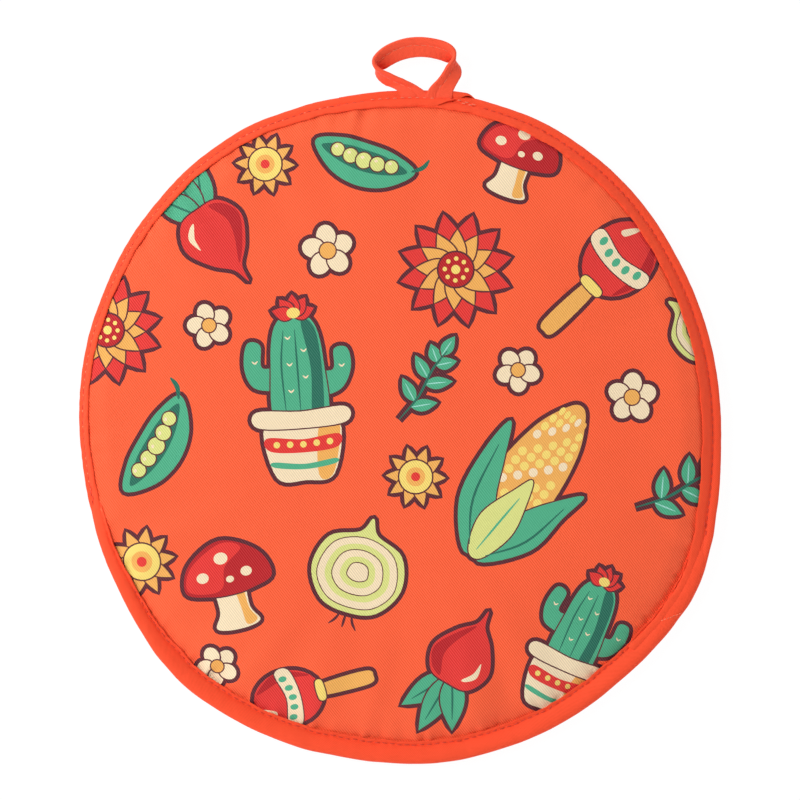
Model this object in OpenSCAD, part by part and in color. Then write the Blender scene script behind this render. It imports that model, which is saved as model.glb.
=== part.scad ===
// Padded round cloth pouch that keeps flatbread warm. It lies on its back, with the printed front up.
// The origin is at the middle of the flat underside, the mouth and its hanging loop face +Y.

/* [Pouch] */
// Diameter of the round pouch over its bindings
pouch_d = 305; // [270:1:340]
// How far each side is drawn in from the round
side_draw = 7.5; // [0:0.5:9]
// Gap between the table and the binding's underside
rim_lift = 0.8; // [0:0.1:2]
// Distance of the mouth's two ends below the middle
mouth_drop = 42; // [20:1:70]
// Height of the pocket at its middle
pocket_h = 7.5; // [5:0.5:14]

/* [Padding] */
// Thickness of one padded panel at its middle
panel_t = 5.5; // [4.5:0.1:8]
// Thickness of one panel where its binding presses it flat
edge_t = 2; // [1.6:0.1:3]
// Width over which the padding rises from its bound edge
puff_w = 6; // [4:0.5:12]
// Thickness of the printed outer cloth
outer_t = 0.5; // [0.3:0.05:0.6]
// Thickness of the lining cloth
lining_t = 0.4; // [0.3:0.05:0.6]
// Depth of the flat that the table presses into the underside
belly_cut = 0.5; // [0.3:0.1:1]

/* [Bindings] */
// Thickness of the binding tape
tape_t = 0.5; // [0.3:0.05:0.7]
// Width of the tape on the closed rim
rim_tape_w = 10.5; // [9:0.5:14]
// Width of the tapes round the mouth
mouth_tape_w = 8; // [6.5:0.5:12]
// Depth of the soft bead between the tape's fold and the panel's edge
bead = 1.6; // [1.2:0.1:2.4]
// Gap between the two bindings of the mouth
mouth_gap = 0.4; // [0.3:0.1:3]

/* [Stitching] */
// Distance from one stitch to the next
stitch_pitch = 5.2; // [4.6:0.1:8]
// Length of one stitch
stitch_l = 3.4; // [2:0.1:4]
// Thickness of the thread
thread_t = 0.5; // [0.3:0.05:0.8]
// Distance of the rim's stitches from the tape's inner edge
rim_stitch_in = 1.7; // [1:0.1:3]
// Distance of the mouth's stitches from the outer edge
mouth_stitch_in = 4; // [3:0.1:5]
// Number of stitches in the seam that joins the tape's ends
join_stitches = 8; // [4:1:12]
// Length of one stitch of that seam
join_stitch_l = 1.1; // [0.6:0.1:1.3]
// Length of the tack at each end of the mouth
bartack_l = 5; // [3:0.5:8]
// Width of the tack at each end of the mouth
bartack_w = 2; // [1:0.1:2.5]

/* [Hanging loop] */
// Width of the loop along the middle of its tape
loop_w = 34; // [28:1:44]
// Height of the loop along the middle of its tape
loop_h = 22; // [18:1:34]
// How far the loop sits to the right of the middle
loop_shift = 2; // [-10:1:10]
// Width of the loop's tape
loop_tape_w = 7; // [5:0.5:8]
// Thickness of the loop's folded tape
loop_tape_t = 1.4; // [0.8:0.1:2]
// How far the tape leans from flat at the loop's top
loop_lean = 38; // [0:1:60]
// Distance of the loop's stitches from the tape's edge
loop_stitch_in = 1.2; // [1:0.1:2]
// Number of stitches that tack each foot of the loop
tack_stitches = 3; // [2:1:4]

/* [Hidden] */

// Room left between pieces
fit = 0.1;        // tape to panel
layer_gap = 0.05; // cloth to padding
thread_gap = 0.05;
loop_thread_gap = 0.15; // more than thread_gap, as the loop's tape curves
hinge_low = 0.2;  // the fold line to the fixed lower front
hinge_flap = 0.5; // the fold line to the part that lifts
loop_gap = 0.3;   // the loop to the binding that it hangs on
far = 2 * pouch_d;

// The sides are drawn in most here, in degrees from +X
right_drawn_at = 6;
left_drawn_at = 192;
drawn_to_mouth = 75; // how far round it fades towards the mouth
drawn_to_foot = 40;  // and towards the foot

// Heights at the bound rim
mid_gap = tape_t + fit + mouth_gap / 2;
rim_half = mid_gap + edge_t + fit + tape_t;
rim_z = rim_half + rim_lift;
rim_top = rim_z + rim_half;
rim_low = rim_z - rim_half;

// Rings of each panel, by their distance in from its edge
slices = 60;
ring_turn = 360 / slices;
pressed_w = max(rim_tape_w, mouth_tape_w) - bead + fit + tape_t;
panel_r = pouch_d / 2 - bead;
crown_r = panel_r - pressed_w;
ring_in = [0, pressed_w, pressed_w + puff_w, pressed_w + puff_w + crown_r / 8, panel_r / 2];
rings = len(ring_in);
puff = [0, 0, 0.75, 1, 1, 1];
crown_curve = 3;
crown = [
    for (k = [0 : rings])
        k < 2 ? 0 : 1 - pow((k < rings ? panel_r - ring_in[k] : 0) / crown_r, crown_curve)
];

// Heights of the panels' faces, ring by ring, the middle last
floor_rise = panel_t - belly_cut - rim_z + mid_gap;
roof_rise = pocket_h - 2 * mid_gap + floor_rise;
thick = [for (p = puff) edge_t + (panel_t - edge_t) * p];
pocket_floor = [for (c = crown) rim_z - mid_gap + floor_rise * c];
pocket_roof = [for (c = crown) rim_z + mid_gap + roof_rise * c];
front_top = pocket_roof + thick;
belly = [for (k = [0 : rings]) max(-belly_cut, pocket_floor[k] - thick[k])];
back_skin_top = [for (z = belly) max(z, 0) + outer_t];

fold_y = -mouth_drop;

function lift(heights, by) = [for (z = heights) z + by];

function fade(u) = abs(u) < 1 ? (1 + cos(180 * u)) / 2 : 0;

function wrapped(a) = a > 180 ? a - 360 : a < -180 ? a + 360 : a;

function drawn(a, at, towards_mouth) =
    let (d = wrapped(a - at) * towards_mouth)
    fade(d > 0 ? d / drawn_to_mouth : d / drawn_to_foot);

// Radius of the pouch at an angle from +X
function outline_r(a) =
    pouch_d / 2 - side_draw * (drawn(a, right_drawn_at, 1) + drawn(a, left_drawn_at, -1));

function on_outline(a, inset) = (outline_r(a) - inset) * [cos(a), sin(a)];

// Direction of the rim at an angle, in degrees
function rim_heading(a) =
    let (slope = (outline_r(a + 0.5) - outline_r(a - 0.5)) * 180 / PI)
    a + 90 - atan(slope / outline_r(a));

// Angles of the mouth's two ends
mouth_right = -asin(mouth_drop / outline_r(-asin(2 * mouth_drop / pouch_d)));
mouth_left = 180 + asin(mouth_drop / outline_r(180 + asin(2 * mouth_drop / pouch_d)));

// One layer of a panel between two lists of heights
module layer(low, high) {
    function at(side, k, i) = (side * rings + k) * slices + i % slices;
    middle = 2 * rings * slices;
    points = concat(
        [
            for (heights = [high, low], k = [0 : rings - 1], i = [0 : slices - 1])
                let (p = on_outline(i * ring_turn, bead + ring_in[k]))
                [p.x, p.y, heights[k]]
        ],
        [[0, 0, high[rings]], [0, 0, low[rings]]]
    );
    faces = [
        for (i = [0 : slices - 1])
            each concat(
                [
                    for (k = [0 : rings - 2])
                        each [
                            [at(0, k, i), at(0, k + 1, i), at(0, k + 1, i + 1)],
                            [at(0, k, i), at(0, k + 1, i + 1), at(0, k, i + 1)],
                            [at(1, k, i), at(1, k + 1, i + 1), at(1, k + 1, i)],
                            [at(1, k, i), at(1, k, i + 1), at(1, k + 1, i + 1)]
                        ]
                ],
                [
                    [at(1, 0, i), at(0, 0, i), at(0, 0, i + 1)],
                    [at(1, 0, i), at(0, 0, i + 1), at(1, 0, i + 1)],
                    [at(0, rings - 1, i), middle, at(0, rings - 1, i + 1)],
                    [at(1, rings - 1, i), at(1, rings - 1, i + 1), middle + 1]
                ]
            )
    ];
    polyhedron(points, faces);
}

// What lies below the fold line, on the closed side
module below_fold() {
    intersection() {
        children();
        translate([-far, fold_y - hinge_low - 2 * far, -far])
            cube(2 * far);
    }
}

// What lies above the fold line, on the mouth's side
module above_fold() {
    intersection() {
        children();
        translate([-far, fold_y + hinge_flap, -far])
            cube(2 * far);
    }
}

// Folded tape of a width round the whole rim, between two heights
module binding(w, low, high) {
    nose = min(bead + 0.4, (high - low) / 2);
    cavity = bead - fit;
    bend = [0 : 30 : 90];
    section = concat(
        [[w, high]],
        [for (t = bend) [nose * (1 - sin(t)), high - nose * (1 - cos(t))]],
        [for (t = bend) [nose * (1 - cos(t)), low + nose * (1 - sin(t))]],
        [[w, low], [w, low + tape_t], [cavity, low + tape_t], [cavity, high - tape_t], [w, high - tape_t]]
    );
    n = len(section);
    function at(i, j) = (i % slices) * n + j % n;
    points = [
        for (i = [0 : slices - 1], s = section)
            let (p = on_outline(i * ring_turn, s.x))
            [p.x, p.y, s.y]
    ];
    faces = [
        for (i = [0 : slices - 1], j = [0 : n - 1])
            each [
                [at(i, j), at(i + 1, j), at(i + 1, j + 1)],
                [at(i, j), at(i + 1, j + 1), at(i, j + 1)]
            ]
    ];
    polyhedron(points, faces);
}

// One stitch, lying along X with its underside at z = 0
module stitch(l = stitch_l) {
    translate([-l / 2, -thread_t / 2, 0])
        cube([l, thread_t, thread_t]);
}

// Stitches along the rim between two angles, at an inset, with their underside at z
module stitch_row(from, to, inset, z) {
    r = pouch_d / 2 - inset;
    run = (to - from) * PI / 180 * r - 2 * stitch_l;
    count = floor(run / stitch_pitch);
    for (i = [0 : count]) {
        a = (from + to) / 2 + (i - count / 2) * stitch_pitch / r * 180 / PI;
        p = on_outline(a, inset);
        translate([p.x, p.y, z])
            rotate([0, 0, rim_heading(a)])
                stitch();
    }
}

module back_outer() {
    color("#e8683f")
        difference() {
            layer(belly, back_skin_top);
            translate([-far, -far, -far])
                cube([2 * far, 2 * far, far]);
        }
}

module back_wadding() {
    color("#f4efe6")
        layer(lift(back_skin_top, layer_gap), lift(pocket_floor, -lining_t - layer_gap));
}

module back_lining() {
    color("#f0905f")
        layer(lift(pocket_floor, -lining_t), pocket_floor);
}

module front_outer() {
    color("#fb6038")
        layer(lift(front_top, -outer_t), front_top);
}

module front_wadding() {
    color("#f4efe6")
        layer(lift(pocket_roof, lining_t + layer_gap), lift(front_top, -outer_t - layer_gap));
}

module front_lining() {
    color("#f0905f")
        layer(pocket_roof, lift(pocket_roof, lining_t));
}

module front_outer_lower() {
    color("#fb6038")
        below_fold()
            front_outer();
}

module front_wadding_lower() {
    color("#f4efe6")
        below_fold()
            front_wadding();
}

module front_lining_lower() {
    color("#f0905f")
        below_fold()
            front_lining();
}

module front_outer_flap() {
    color("#fb6038")
        above_fold()
            front_outer();
}

module front_wadding_flap() {
    color("#f4efe6")
        above_fold()
            front_wadding();
}

module front_lining_flap() {
    color("#f0905f")
        above_fold()
            front_lining();
}

module rim_binding() {
    color("#fc4f31")
        below_fold()
            binding(rim_tape_w, rim_low, rim_top);
}

module back_mouth_binding() {
    color("#fc4f31")
        above_fold()
            binding(mouth_tape_w, rim_low, rim_z - mouth_gap / 2);
}

module front_mouth_binding() {
    color("#fc4f31")
        above_fold()
            binding(mouth_tape_w, rim_z + mouth_gap / 2, rim_top);
}

module rim_stitching() {
    color("#c8321c")
        for (z = [rim_top + thread_gap, rim_low - thread_gap - thread_t])
            stitch_row(mouth_left, 360 + mouth_right, rim_tape_w - rim_stitch_in, z);
}

module back_mouth_stitching() {
    color("#c8321c")
        stitch_row(mouth_right, mouth_left, mouth_stitch_in, rim_low - thread_gap - thread_t);
}

module front_mouth_stitching() {
    color("#c8321c")
        difference() {
            stitch_row(mouth_right, mouth_left, mouth_stitch_in, rim_top + thread_gap);
            loop_tack_room();
        }
}

// Seam on the slant across the rim's tape, where its two ends are joined
module binding_join_seam() {
    inner = on_outline(-35.5, rim_tape_w - rim_stitch_in - thread_t);
    outer = on_outline(-31, bead + thread_t);
    slant = outer - inner;
    color("#ffb199")
        for (i = [0 : join_stitches - 1]) {
            p = inner + slant * (i + 0.5) / join_stitches;
            translate([p.x, p.y, rim_top + thread_gap])
                rotate([0, 0, atan2(slant.y, slant.x)])
                    stitch(join_stitch_l);
        }
}

// Close zigzag over the ends of the mouth, on the rim's tape
module mouth_bartacks() {
    back_off = hinge_low + bartack_l / 2;
    color("#c8321c")
        for (a = [mouth_right, mouth_left]) {
            p = on_outline(a, mouth_stitch_in);
            heading = rim_heading(a) + (a < 90 ? 180 : 0);
            translate([p.x, p.y, rim_top + thread_gap])
                rotate([0, 0, heading])
                    translate([back_off - bartack_l / 2 + bartack_w / 4, -bartack_w / 2, 0])
                        cube([bartack_l, bartack_w, thread_t]);
        }
}

// Points along the loop: a share of its run gives its place and how far its tape leans
loop_foot = 62;
loop_steps = 24;
loop_y = pouch_d / 2 + loop_gap + loop_h / 2 * sin(loop_foot);
loop_z = rim_top - loop_tape_t / 2;

function loop_angle(u) = -loop_foot + u * (180 + 2 * loop_foot);

function loop_centre(u) =
    [loop_shift + loop_w / 2 * cos(loop_angle(u)), loop_y + loop_h / 2 * sin(loop_angle(u)), loop_z];

function loop_inward(u) =
    let (n = [-cos(loop_angle(u)) * loop_h, -sin(loop_angle(u)) * loop_w])
    n / norm(n);

function loop_lean_at(u) = loop_lean * sin(180 * u);

// A point across the loop's tape: in is towards the hole, up is out of the tape's face
function loop_point(u, in, up) =
    let (n = loop_inward(u), l = loop_lean_at(u))
    loop_centre(u) + in * [n.x * cos(l), n.y * cos(l), -sin(l)] + up * [n.x * sin(l), n.y * sin(l), cos(l)];

// A strip that follows the loop's tape, from one share of its run to another
module loop_strip(from, to, steps, in_low, in_high, up_low, up_high) {
    corners = [[in_low, up_low], [in_high, up_low], [in_high, up_high], [in_low, up_high]];
    points = [
        for (i = [0 : steps], c = corners)
            loop_point(from + (to - from) * i / steps, c.x, c.y)
    ];
    faces = concat(
        [[3, 2, 1, 0], [for (j = [0 : 3]) 4 * steps + j]],
        [
            for (i = [0 : steps - 1], j = [0 : 3])
                let (a = 4 * i + j, b = 4 * i + (j + 1) % 4)
                each [[a, b, b + 4], [a, b + 4, a + 4]]
        ]
    );
    polyhedron(points, faces);
}

// Keeps what lies past the binding's outer edge
module past_rim() {
    intersection() {
        children();
        translate([-far, pouch_d / 2 + loop_gap, -far])
            cube(2 * far);
    }
}

module hanging_loop() {
    color("#ff5a38")
        past_rim()
            loop_strip(
                -0.03, 1.03, loop_steps,
                -loop_tape_w / 2, loop_tape_w / 2,
                -loop_tape_t / 2, loop_tape_t / 2
            );
}

module loop_stitching() {
    run = PI * (loop_w + loop_h) / 2 * (180 + 2 * loop_foot) / 360;
    count = floor(run / stitch_pitch) - 2;
    in = loop_stitch_in - loop_tape_w / 2;
    up = loop_tape_t / 2 + loop_thread_gap;
    color("#ffb199")
        for (i = [0 : count]) {
            u = 0.5 + (i - count / 2) * stitch_pitch / run;
            half = stitch_l / 2 / run;
            loop_strip(u - half, u + half, 2, in - thread_t / 2, in + thread_t / 2, up, up + thread_t);
        }
}

// Room on the mouth's binding for the stitches of the loop's feet
module loop_tack_room() {
    w = loop_w + loop_tape_w;
    translate([loop_shift - w / 2, 0, 0])
        cube([w, far, far]);
}

module loop_tacks() {
    foot_x = loop_w / 2 * cos(loop_foot);
    y = pouch_d / 2 - mouth_stitch_in;
    color("#ffb199")
        for (side = [-1, 1], i = [0 : tack_stitches - 1]) {
            x = loop_shift + side * foot_x + (i - (tack_stitches - 1) / 2) * stitch_pitch;
            translate([x, y, rim_top + thread_gap])
                stitch();
        }
}

back_outer();
back_wadding();
back_lining();
front_outer_lower();
front_wadding_lower();
front_lining_lower();
rim_binding();
rim_stitching();
binding_join_seam();
back_mouth_binding();
back_mouth_stitching();
mouth_bartacks();
front_outer_flap();
front_wadding_flap();
front_lining_flap();
front_mouth_binding();
front_mouth_stitching();
loop_tacks();
hanging_loop();
loop_stitching();
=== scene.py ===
import logging
import math
from dataclasses import dataclass, field
from enum import Enum
from typing import Callable, Optional, Sequence

import bmesh
import bpy
import numpy as np
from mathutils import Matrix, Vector
from mathutils.bvhtree import BVHTree
from mathutils.geometry import delaunay_2d_cdt


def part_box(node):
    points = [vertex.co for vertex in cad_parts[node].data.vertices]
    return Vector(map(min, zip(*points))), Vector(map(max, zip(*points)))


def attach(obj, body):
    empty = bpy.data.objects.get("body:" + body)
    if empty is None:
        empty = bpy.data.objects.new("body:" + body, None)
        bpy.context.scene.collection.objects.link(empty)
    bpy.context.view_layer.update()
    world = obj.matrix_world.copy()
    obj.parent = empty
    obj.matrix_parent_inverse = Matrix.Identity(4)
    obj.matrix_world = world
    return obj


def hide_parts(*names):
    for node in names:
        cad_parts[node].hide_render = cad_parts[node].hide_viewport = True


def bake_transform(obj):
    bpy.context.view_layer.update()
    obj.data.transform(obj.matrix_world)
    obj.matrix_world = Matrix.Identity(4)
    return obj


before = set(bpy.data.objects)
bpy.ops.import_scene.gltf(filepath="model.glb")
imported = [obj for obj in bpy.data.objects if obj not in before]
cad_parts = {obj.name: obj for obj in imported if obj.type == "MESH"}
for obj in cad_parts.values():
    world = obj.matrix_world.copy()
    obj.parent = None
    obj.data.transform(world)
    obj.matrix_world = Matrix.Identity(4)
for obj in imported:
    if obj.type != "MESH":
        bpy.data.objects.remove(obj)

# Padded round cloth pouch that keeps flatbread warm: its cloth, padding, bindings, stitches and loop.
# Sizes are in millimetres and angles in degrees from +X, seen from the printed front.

LOG = logging.getLogger("pouch")
MM = 0.001
WELD = 1e-6  # metres; points nearer than this are one
PAD_GAP = 0.3  # between the padding and each of its cloths
LEAST_GAP = 0.2  # what is left of it where the cloths are rumpled
MOUTH_STITCH = 4.2  # from the fold of a mouth tape to its stitching
RIM_STITCH = 8.9  # from the fold of the rim tape to its stitching
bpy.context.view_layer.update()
Array = np.ndarray
Heights = Callable[[Array, Array], Array]


# ---------------------------------------------------------------- plain helpers


def linear(hex_colour: str) -> tuple[float, float, float]:
    """Turns an sRGB colour into the linear one that the shaders take.

    Args:
        hex_colour: six hex digits, such as "fb6038".

    Returns:
        Linear red, green and blue.
    """
    channels = [int(hex_colour[i : i + 2], 16) / 255 for i in (0, 2, 4)]
    return tuple(c / 12.92 if c <= 0.04045 else ((c + 0.055) / 1.055) ** 2.4 for c in channels)


def eased(x: Array, low: float, high: float) -> Array:
    """Rises smoothly from 0 at low to 1 at high."""
    t = np.clip((np.asarray(x, float) - low) / (high - low), 0, 1)
    return t * t * (3 - 2 * t)


def through(angle: Array, stops: Sequence[tuple[float, float]]) -> Array:
    """Runs smoothly through a value at each stop round the pouch.

    Args:
        angle: degrees, any turn.
        stops: (degrees, value) pairs in rising order, within one turn.

    Returns:
        The value at each angle.
    """
    at = np.array([s[0] for s in stops] + [stops[0][0] + 360])
    value = np.array([s[1] for s in stops] + [stops[0][1]])
    a = (np.asarray(angle, float) - at[0]) % 360 + at[0]
    i = np.clip(np.searchsorted(at, a, side="right") - 1, 0, len(stops) - 1)
    t = (a - at[i]) / (at[i + 1] - at[i])
    t = t * t * (3 - 2 * t)
    return value[i] * (1 - t) + value[i + 1] * t


def even(value: float) -> Callable[[Array], Array]:
    """A measure that stays the same all round the pouch."""
    return lambda a: np.full_like(a, value)


def unit(vectors: Array) -> Array:
    """Each row of vectors brought to a length of one."""
    return vectors / np.linalg.norm(vectors, axis=1)[:, None]


def waves(x: Array, counts: Sequence[float], seed: int) -> Array:
    """A smooth uneven wave: sines of several rates with fixed random phases, about -1 to 1.

    Args:
        x: place along the wave, in radians for whole counts round a circle.
        counts: the rate of each sine.
        seed: picks the phases.

    Returns:
        The wave at each place.
    """
    phases = np.random.default_rng(seed).uniform(0, 2 * math.pi, len(counts))
    total = sum(np.sin(np.asarray(x) * n + p) for n, p in zip(counts, phases))
    return total / math.sqrt(len(counts)) / 1.2


def smooth_line(points: Sequence[Sequence[float]], steps: int = 8, closed: bool = False) -> Array:
    """A Catmull-Rom curve through the points.

    Args:
        points: the places it passes.
        steps: how many points come out for each span.
        closed: whether it returns to its start.

    Returns:
        The curve's points.
    """
    p = np.array(points, float)
    n = len(p)
    if closed:
        wide = p[np.arange(-1, n + 2) % n]
        spans = n
    else:
        wide = np.vstack([2 * p[0] - p[1], p, 2 * p[-1] - p[-2]])
        spans = n - 1
    t = np.linspace(0, 1, steps, endpoint=False)[:, None]
    out = []
    for i in range(spans):
        a, b, c, d = wide[i : i + 4]
        out.append(
            0.5 * (2 * b + (c - a) * t + (2 * a - 5 * b + 4 * c - d) * t**2 + (3 * b - a - 3 * c + d) * t**3)
        )
    if not closed:
        out.append(p[-1:])
    return np.vstack(out)


def gaps(line: Array) -> Array:
    """Distance from each of a line's points to the next."""
    return np.linalg.norm(np.diff(line, axis=0), axis=1)


def run_along(line: Array) -> Array:
    """Distance along a line from its start to each of its points."""
    return np.concatenate([[0], np.cumsum(gaps(line))])


def deselect_all() -> None:
    """Leaves nothing selected, so that an operator acts only on what is made next."""
    if bpy.context.object and bpy.context.object.mode != "OBJECT":
        bpy.ops.object.mode_set(mode="OBJECT")
    bpy.ops.object.select_all(action="DESELECT")


def take(piece: bpy.types.Object) -> None:
    """Selects one piece alone and makes it the active one.

    Args:
        piece: the piece to select.
    """
    deselect_all()
    piece.select_set(True)
    bpy.context.view_layer.objects.active = piece


def apply(piece: bpy.types.Object, kind: str, **settings: object) -> None:
    """Adds a modifier with its settings and applies it.

    Args:
        piece: the mesh to change.
        kind: the modifier's type.
        **settings: its properties.
    """
    take(piece)
    modifier = piece.modifiers.new(kind.title(), kind)
    for name, value in settings.items():
        setattr(modifier, name, value)
    bpy.ops.object.modifier_apply(modifier=modifier.name)


def smooth_shaded(piece: bpy.types.Object, angle: float = 180.0) -> bpy.types.Object:
    """Shades a piece smoothly over edges flatter than an angle in degrees.

    Args:
        piece: the mesh.
        angle: the sharpest bend that is still shaded as round.

    Returns:
        The piece.
    """
    take(piece)
    bpy.ops.object.shade_smooth()
    if angle < 180:
        bpy.ops.object.shade_smooth_by_angle(angle=math.radians(angle))
    return piece


def edit(piece: bpy.types.Object, *steps: Callable[[], object]) -> None:
    """Runs edit-mode operators on a whole piece.

    Args:
        piece: the mesh to edit.
        *steps: the operators in order, called with everything selected.
    """
    take(piece)
    bpy.ops.object.mode_set(mode="EDIT")
    bpy.ops.mesh.select_all(action="SELECT")
    for step in steps:
        step()
    bpy.ops.object.mode_set(mode="OBJECT")


def face_outwards() -> None:
    """Turns the selected faces' normals outwards, in edit mode."""
    bpy.ops.mesh.normals_make_consistent(inside=False)


def piece_from(name: str, points: Array, faces: Sequence[Sequence[int]]) -> bpy.types.Object:
    """Makes a mesh piece at the origin.

    Args:
        name: the piece's name.
        points: its points in millimetres.
        faces: its faces, as lists of point numbers.

    Returns:
        The new object, with its place in its mesh.
    """
    mesh = bpy.data.meshes.new(name)
    mesh.from_pydata((np.asarray(points) * MM).tolist(), [], [list(map(int, f)) for f in faces])
    mesh.update()
    piece = bpy.data.objects.new(name, mesh)
    bpy.context.collection.objects.link(piece)
    return piece


def places(piece: bpy.types.Object) -> Array:
    """A piece's points, in millimetres.

    Args:
        piece: the mesh.

    Returns:
        Its points, one a row.
    """
    flat = np.zeros(len(piece.data.vertices) * 3)
    piece.data.vertices.foreach_get("co", flat)
    return flat.reshape(-1, 3) / MM


def flat_grid(name: str, along: int, across: int) -> tuple[bpy.types.Object, Array, Array]:
    """Adds a flat grid to be shaped into a tape.

    Args:
        name: the piece's name.
        along: how many cells long it is.
        across: how many cells wide it is.

    Returns:
        The grid, and each point's place along and across it, from -0.5 to 0.5.
    """
    deselect_all()
    bpy.ops.mesh.primitive_grid_add(x_subdivisions=along, y_subdivisions=across, size=1, calc_uvs=True)
    piece = bpy.context.object
    piece.name = piece.data.name = name
    flat = places(piece) * MM
    return piece, flat[:, 0], flat[:, 1]


def size_uv(piece: bpy.types.Object, along: float, across: float) -> None:
    """Stretches a grid's UV map to its real size, so that a weave keeps its scale.

    Args:
        piece: the grid.
        along: its length in millimetres.
        across: its width in millimetres.
    """
    layer = piece.data.uv_layers.active.data
    uv = np.zeros(len(layer) * 2)
    layer.foreach_get("uv", uv)
    layer.foreach_set("uv", (uv.reshape(-1, 2) * (along * MM, across * MM)).ravel())


def put(piece: bpy.types.Object, points: Array) -> None:
    """Moves a piece's points to new places, in millimetres."""
    piece.data.vertices.foreach_set("co", (np.asarray(points) * MM).ravel())
    piece.data.update()


# ---------------------------------------------------------------- the pouch's outline


@dataclass(frozen=True)
class Round:
    """Outline of the pouch from the front: a circle whose two sides are drawn in by the mouth's bent edge."""

    radius: float
    drawn: float = 7.5
    right_at: float = 6.0
    left_at: float = 192.0
    to_mouth: float = 75.0
    to_foot: float = 40.0
    mouth_right: float = -17.4
    mouth_left: float = 196.9
    uneven: tuple = (
        (0, 0.2), (12, 0.6), (20, 0.45), (30, -0.1), (42, 0.1), (50, 0.6), (60, 0.35), (68, 0.35), (76, 0.1),
        (84, 0), (94, -0.8), (102, -0.9), (110, -0.3), (118, 0.15), (128, -0.2), (142, -0.85), (150, -0.5),
        (158.5, -0.9), (167, 0), (176, 0.1), (186, -0.3), (196, 0.4), (203, -0.5), (212, -1.3), (220, -1.3),
        (227, -0.1), (235, 0.8), (244, 0.3), (254, 0.5), (261, -0.3), (268, 0.1), (279, 1.3), (290, 1.1),
        (303, 0.8), (313, 0.45), (320, 0.6), (327, 1.3), (332, 2.1), (337, 2.2), (342, 1.6), (348, 0.7),
        (355, 0.5), (360, 0.2),
    )

    def _fade(self, away: Array) -> Array:
        """Fades from 1 to 0 over an angle away from where a side is most drawn in."""
        u = np.where(away > 0, away / self.to_mouth, away / self.to_foot)
        return np.where(np.abs(u) < 1, (1 + np.cos(np.pi * u)) / 2, 0)

    def at(self, angle: Array) -> Array:
        """The outline's radius at each angle.

        Args:
            angle: degrees from +X.

        Returns:
            The radii in millimetres.
        """
        a = np.asarray(angle, float)
        right = (a - self.right_at + 180) % 360 - 180
        left = (self.left_at - a + 180) % 360 - 180
        drawn_in = self.drawn * (self._fade(right) + self._fade(left))
        return self.radius - drawn_in + through(a % 360, self.uneven)

    def point(self, angle: Array, inset: Array) -> Array:
        """Points at angles, an inset in from the outline, as (x, y).

        Args:
            angle: degrees from +X.
            inset: how far in from the outline.

        Returns:
            The points, one a row.
        """
        a = np.radians(np.asarray(angle, float))
        r = self.at(angle) - inset
        return np.stack([r * np.cos(a), r * np.sin(a)], axis=-1)

    def polar(self, x: Array, y: Array) -> tuple[Array, Array]:
        """How far in from the outline each point is, and its angle."""
        a = np.degrees(np.arctan2(y, x)) % 360
        return self.at(a) - np.hypot(x, y), a

    def even_angles(self, start: float, end: float, count: int, inset: float = 0.0) -> Array:
        """Angles from start to end that lie equally far apart along the outline.

        Args:
            start: the first angle.
            end: the last angle.
            count: how many.
            inset: how far in from the outline they are spaced.

        Returns:
            The angles.
        """
        fine = np.linspace(start, end, 2000)
        along = run_along(self.point(fine, inset))
        return np.interp(np.linspace(0, along[-1], count), along, fine)

    def run(self, start: float, end: float, inset: float = 0.0) -> float:
        """Length of the outline between two angles, in millimetres."""
        return float(gaps(self.point(np.linspace(start, end, 2000), inset)).sum())

    def mouth_share(self, angle: Array) -> Array:
        """1 along the open mouth, 0 along the closed rim, with a smooth change at each end.

        Args:
            angle: degrees from +X.

        Returns:
            The share at each angle.
        """
        a = (np.asarray(angle, float) + 90) % 360 - 90
        return eased(a, self.mouth_right - 14, self.mouth_right + 4) * (
            1 - eased(a, self.mouth_left - 6, self.mouth_left + 8)
        )


# ---------------------------------------------------------------- the print


class Ink(Enum):
    """Printing inks on the outer cloth, as they look on it."""

    GROUND = "fb613a"
    LINE = "5e2b33"
    CREAM = "f2dcb8"
    AMBER = "eead5a"
    LEMON = "f3d673"
    TEAL = "50ad86"
    PINE = "2c6f5c"
    MINT = "9ad6c8"
    RED = "e23a36"
    WINE = "b9242a"
    LIME = "d9dc86"


def oval(x: float, y: float, rx: float, ry: float, turn: float = 0.0, count: int = 28) -> Array:
    """An ellipse's points, with its longer way turned by an angle."""
    t = np.linspace(0, 2 * np.pi, count, endpoint=False)
    return turned(np.stack([rx * np.cos(t), ry * np.sin(t)], axis=1), turn) + (x, y)


def turned(points: Array, angle: float) -> Array:
    """Points turned anticlockwise about the origin."""
    c, s = math.cos(math.radians(angle)), math.sin(math.radians(angle))
    return np.asarray(points, float) @ np.array([[c, s], [-s, c]])


def blob(*points: tuple[float, float], steps: int = 6) -> Array:
    """A soft closed shape through a few points."""
    return smooth_line(points, steps, closed=True)


def leaf(x: float, y: float, length: float, width: float, turn: float, count: int = 12) -> Array:
    """A pointed leaf that starts at a place and runs along an angle.

    Args:
        x: its stem, across the motif.
        y: its stem, up the motif.
        length: from stem to tip.
        width: at its widest.
        turn: the way it points.
        count: points along each side.

    Returns:
        The closed shape.
    """
    t = np.linspace(0, 1, count)
    side = width / 2 * np.sin(np.pi * t**0.8)
    top = np.stack([length * t, side], axis=1)
    low = np.stack([length * t[-2:0:-1], -side[-2:0:-1]], axis=1)
    return turned(np.vstack([top, low]), turn) + (x, y)


def pen(points: Sequence[tuple[float, float]], width: float, steps: int = 5) -> Array:
    """A drawn line through points, thin at both ends, as a closed shape.

    Args:
        points: the places it passes.
        width: at its middle.
        steps: curve points for each span.

    Returns:
        The closed shape.
    """
    line = smooth_line(points, steps)
    way = unit(np.gradient(line, axis=0))
    across = np.stack([-way[:, 1], way[:, 0]], axis=1)
    half = width / 2 * np.maximum(0.35, np.sin(np.pi * np.linspace(0, 1, len(line))) ** 0.5)[:, None]
    return np.vstack([line + across * half, (line - across * half)[::-1]])


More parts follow.
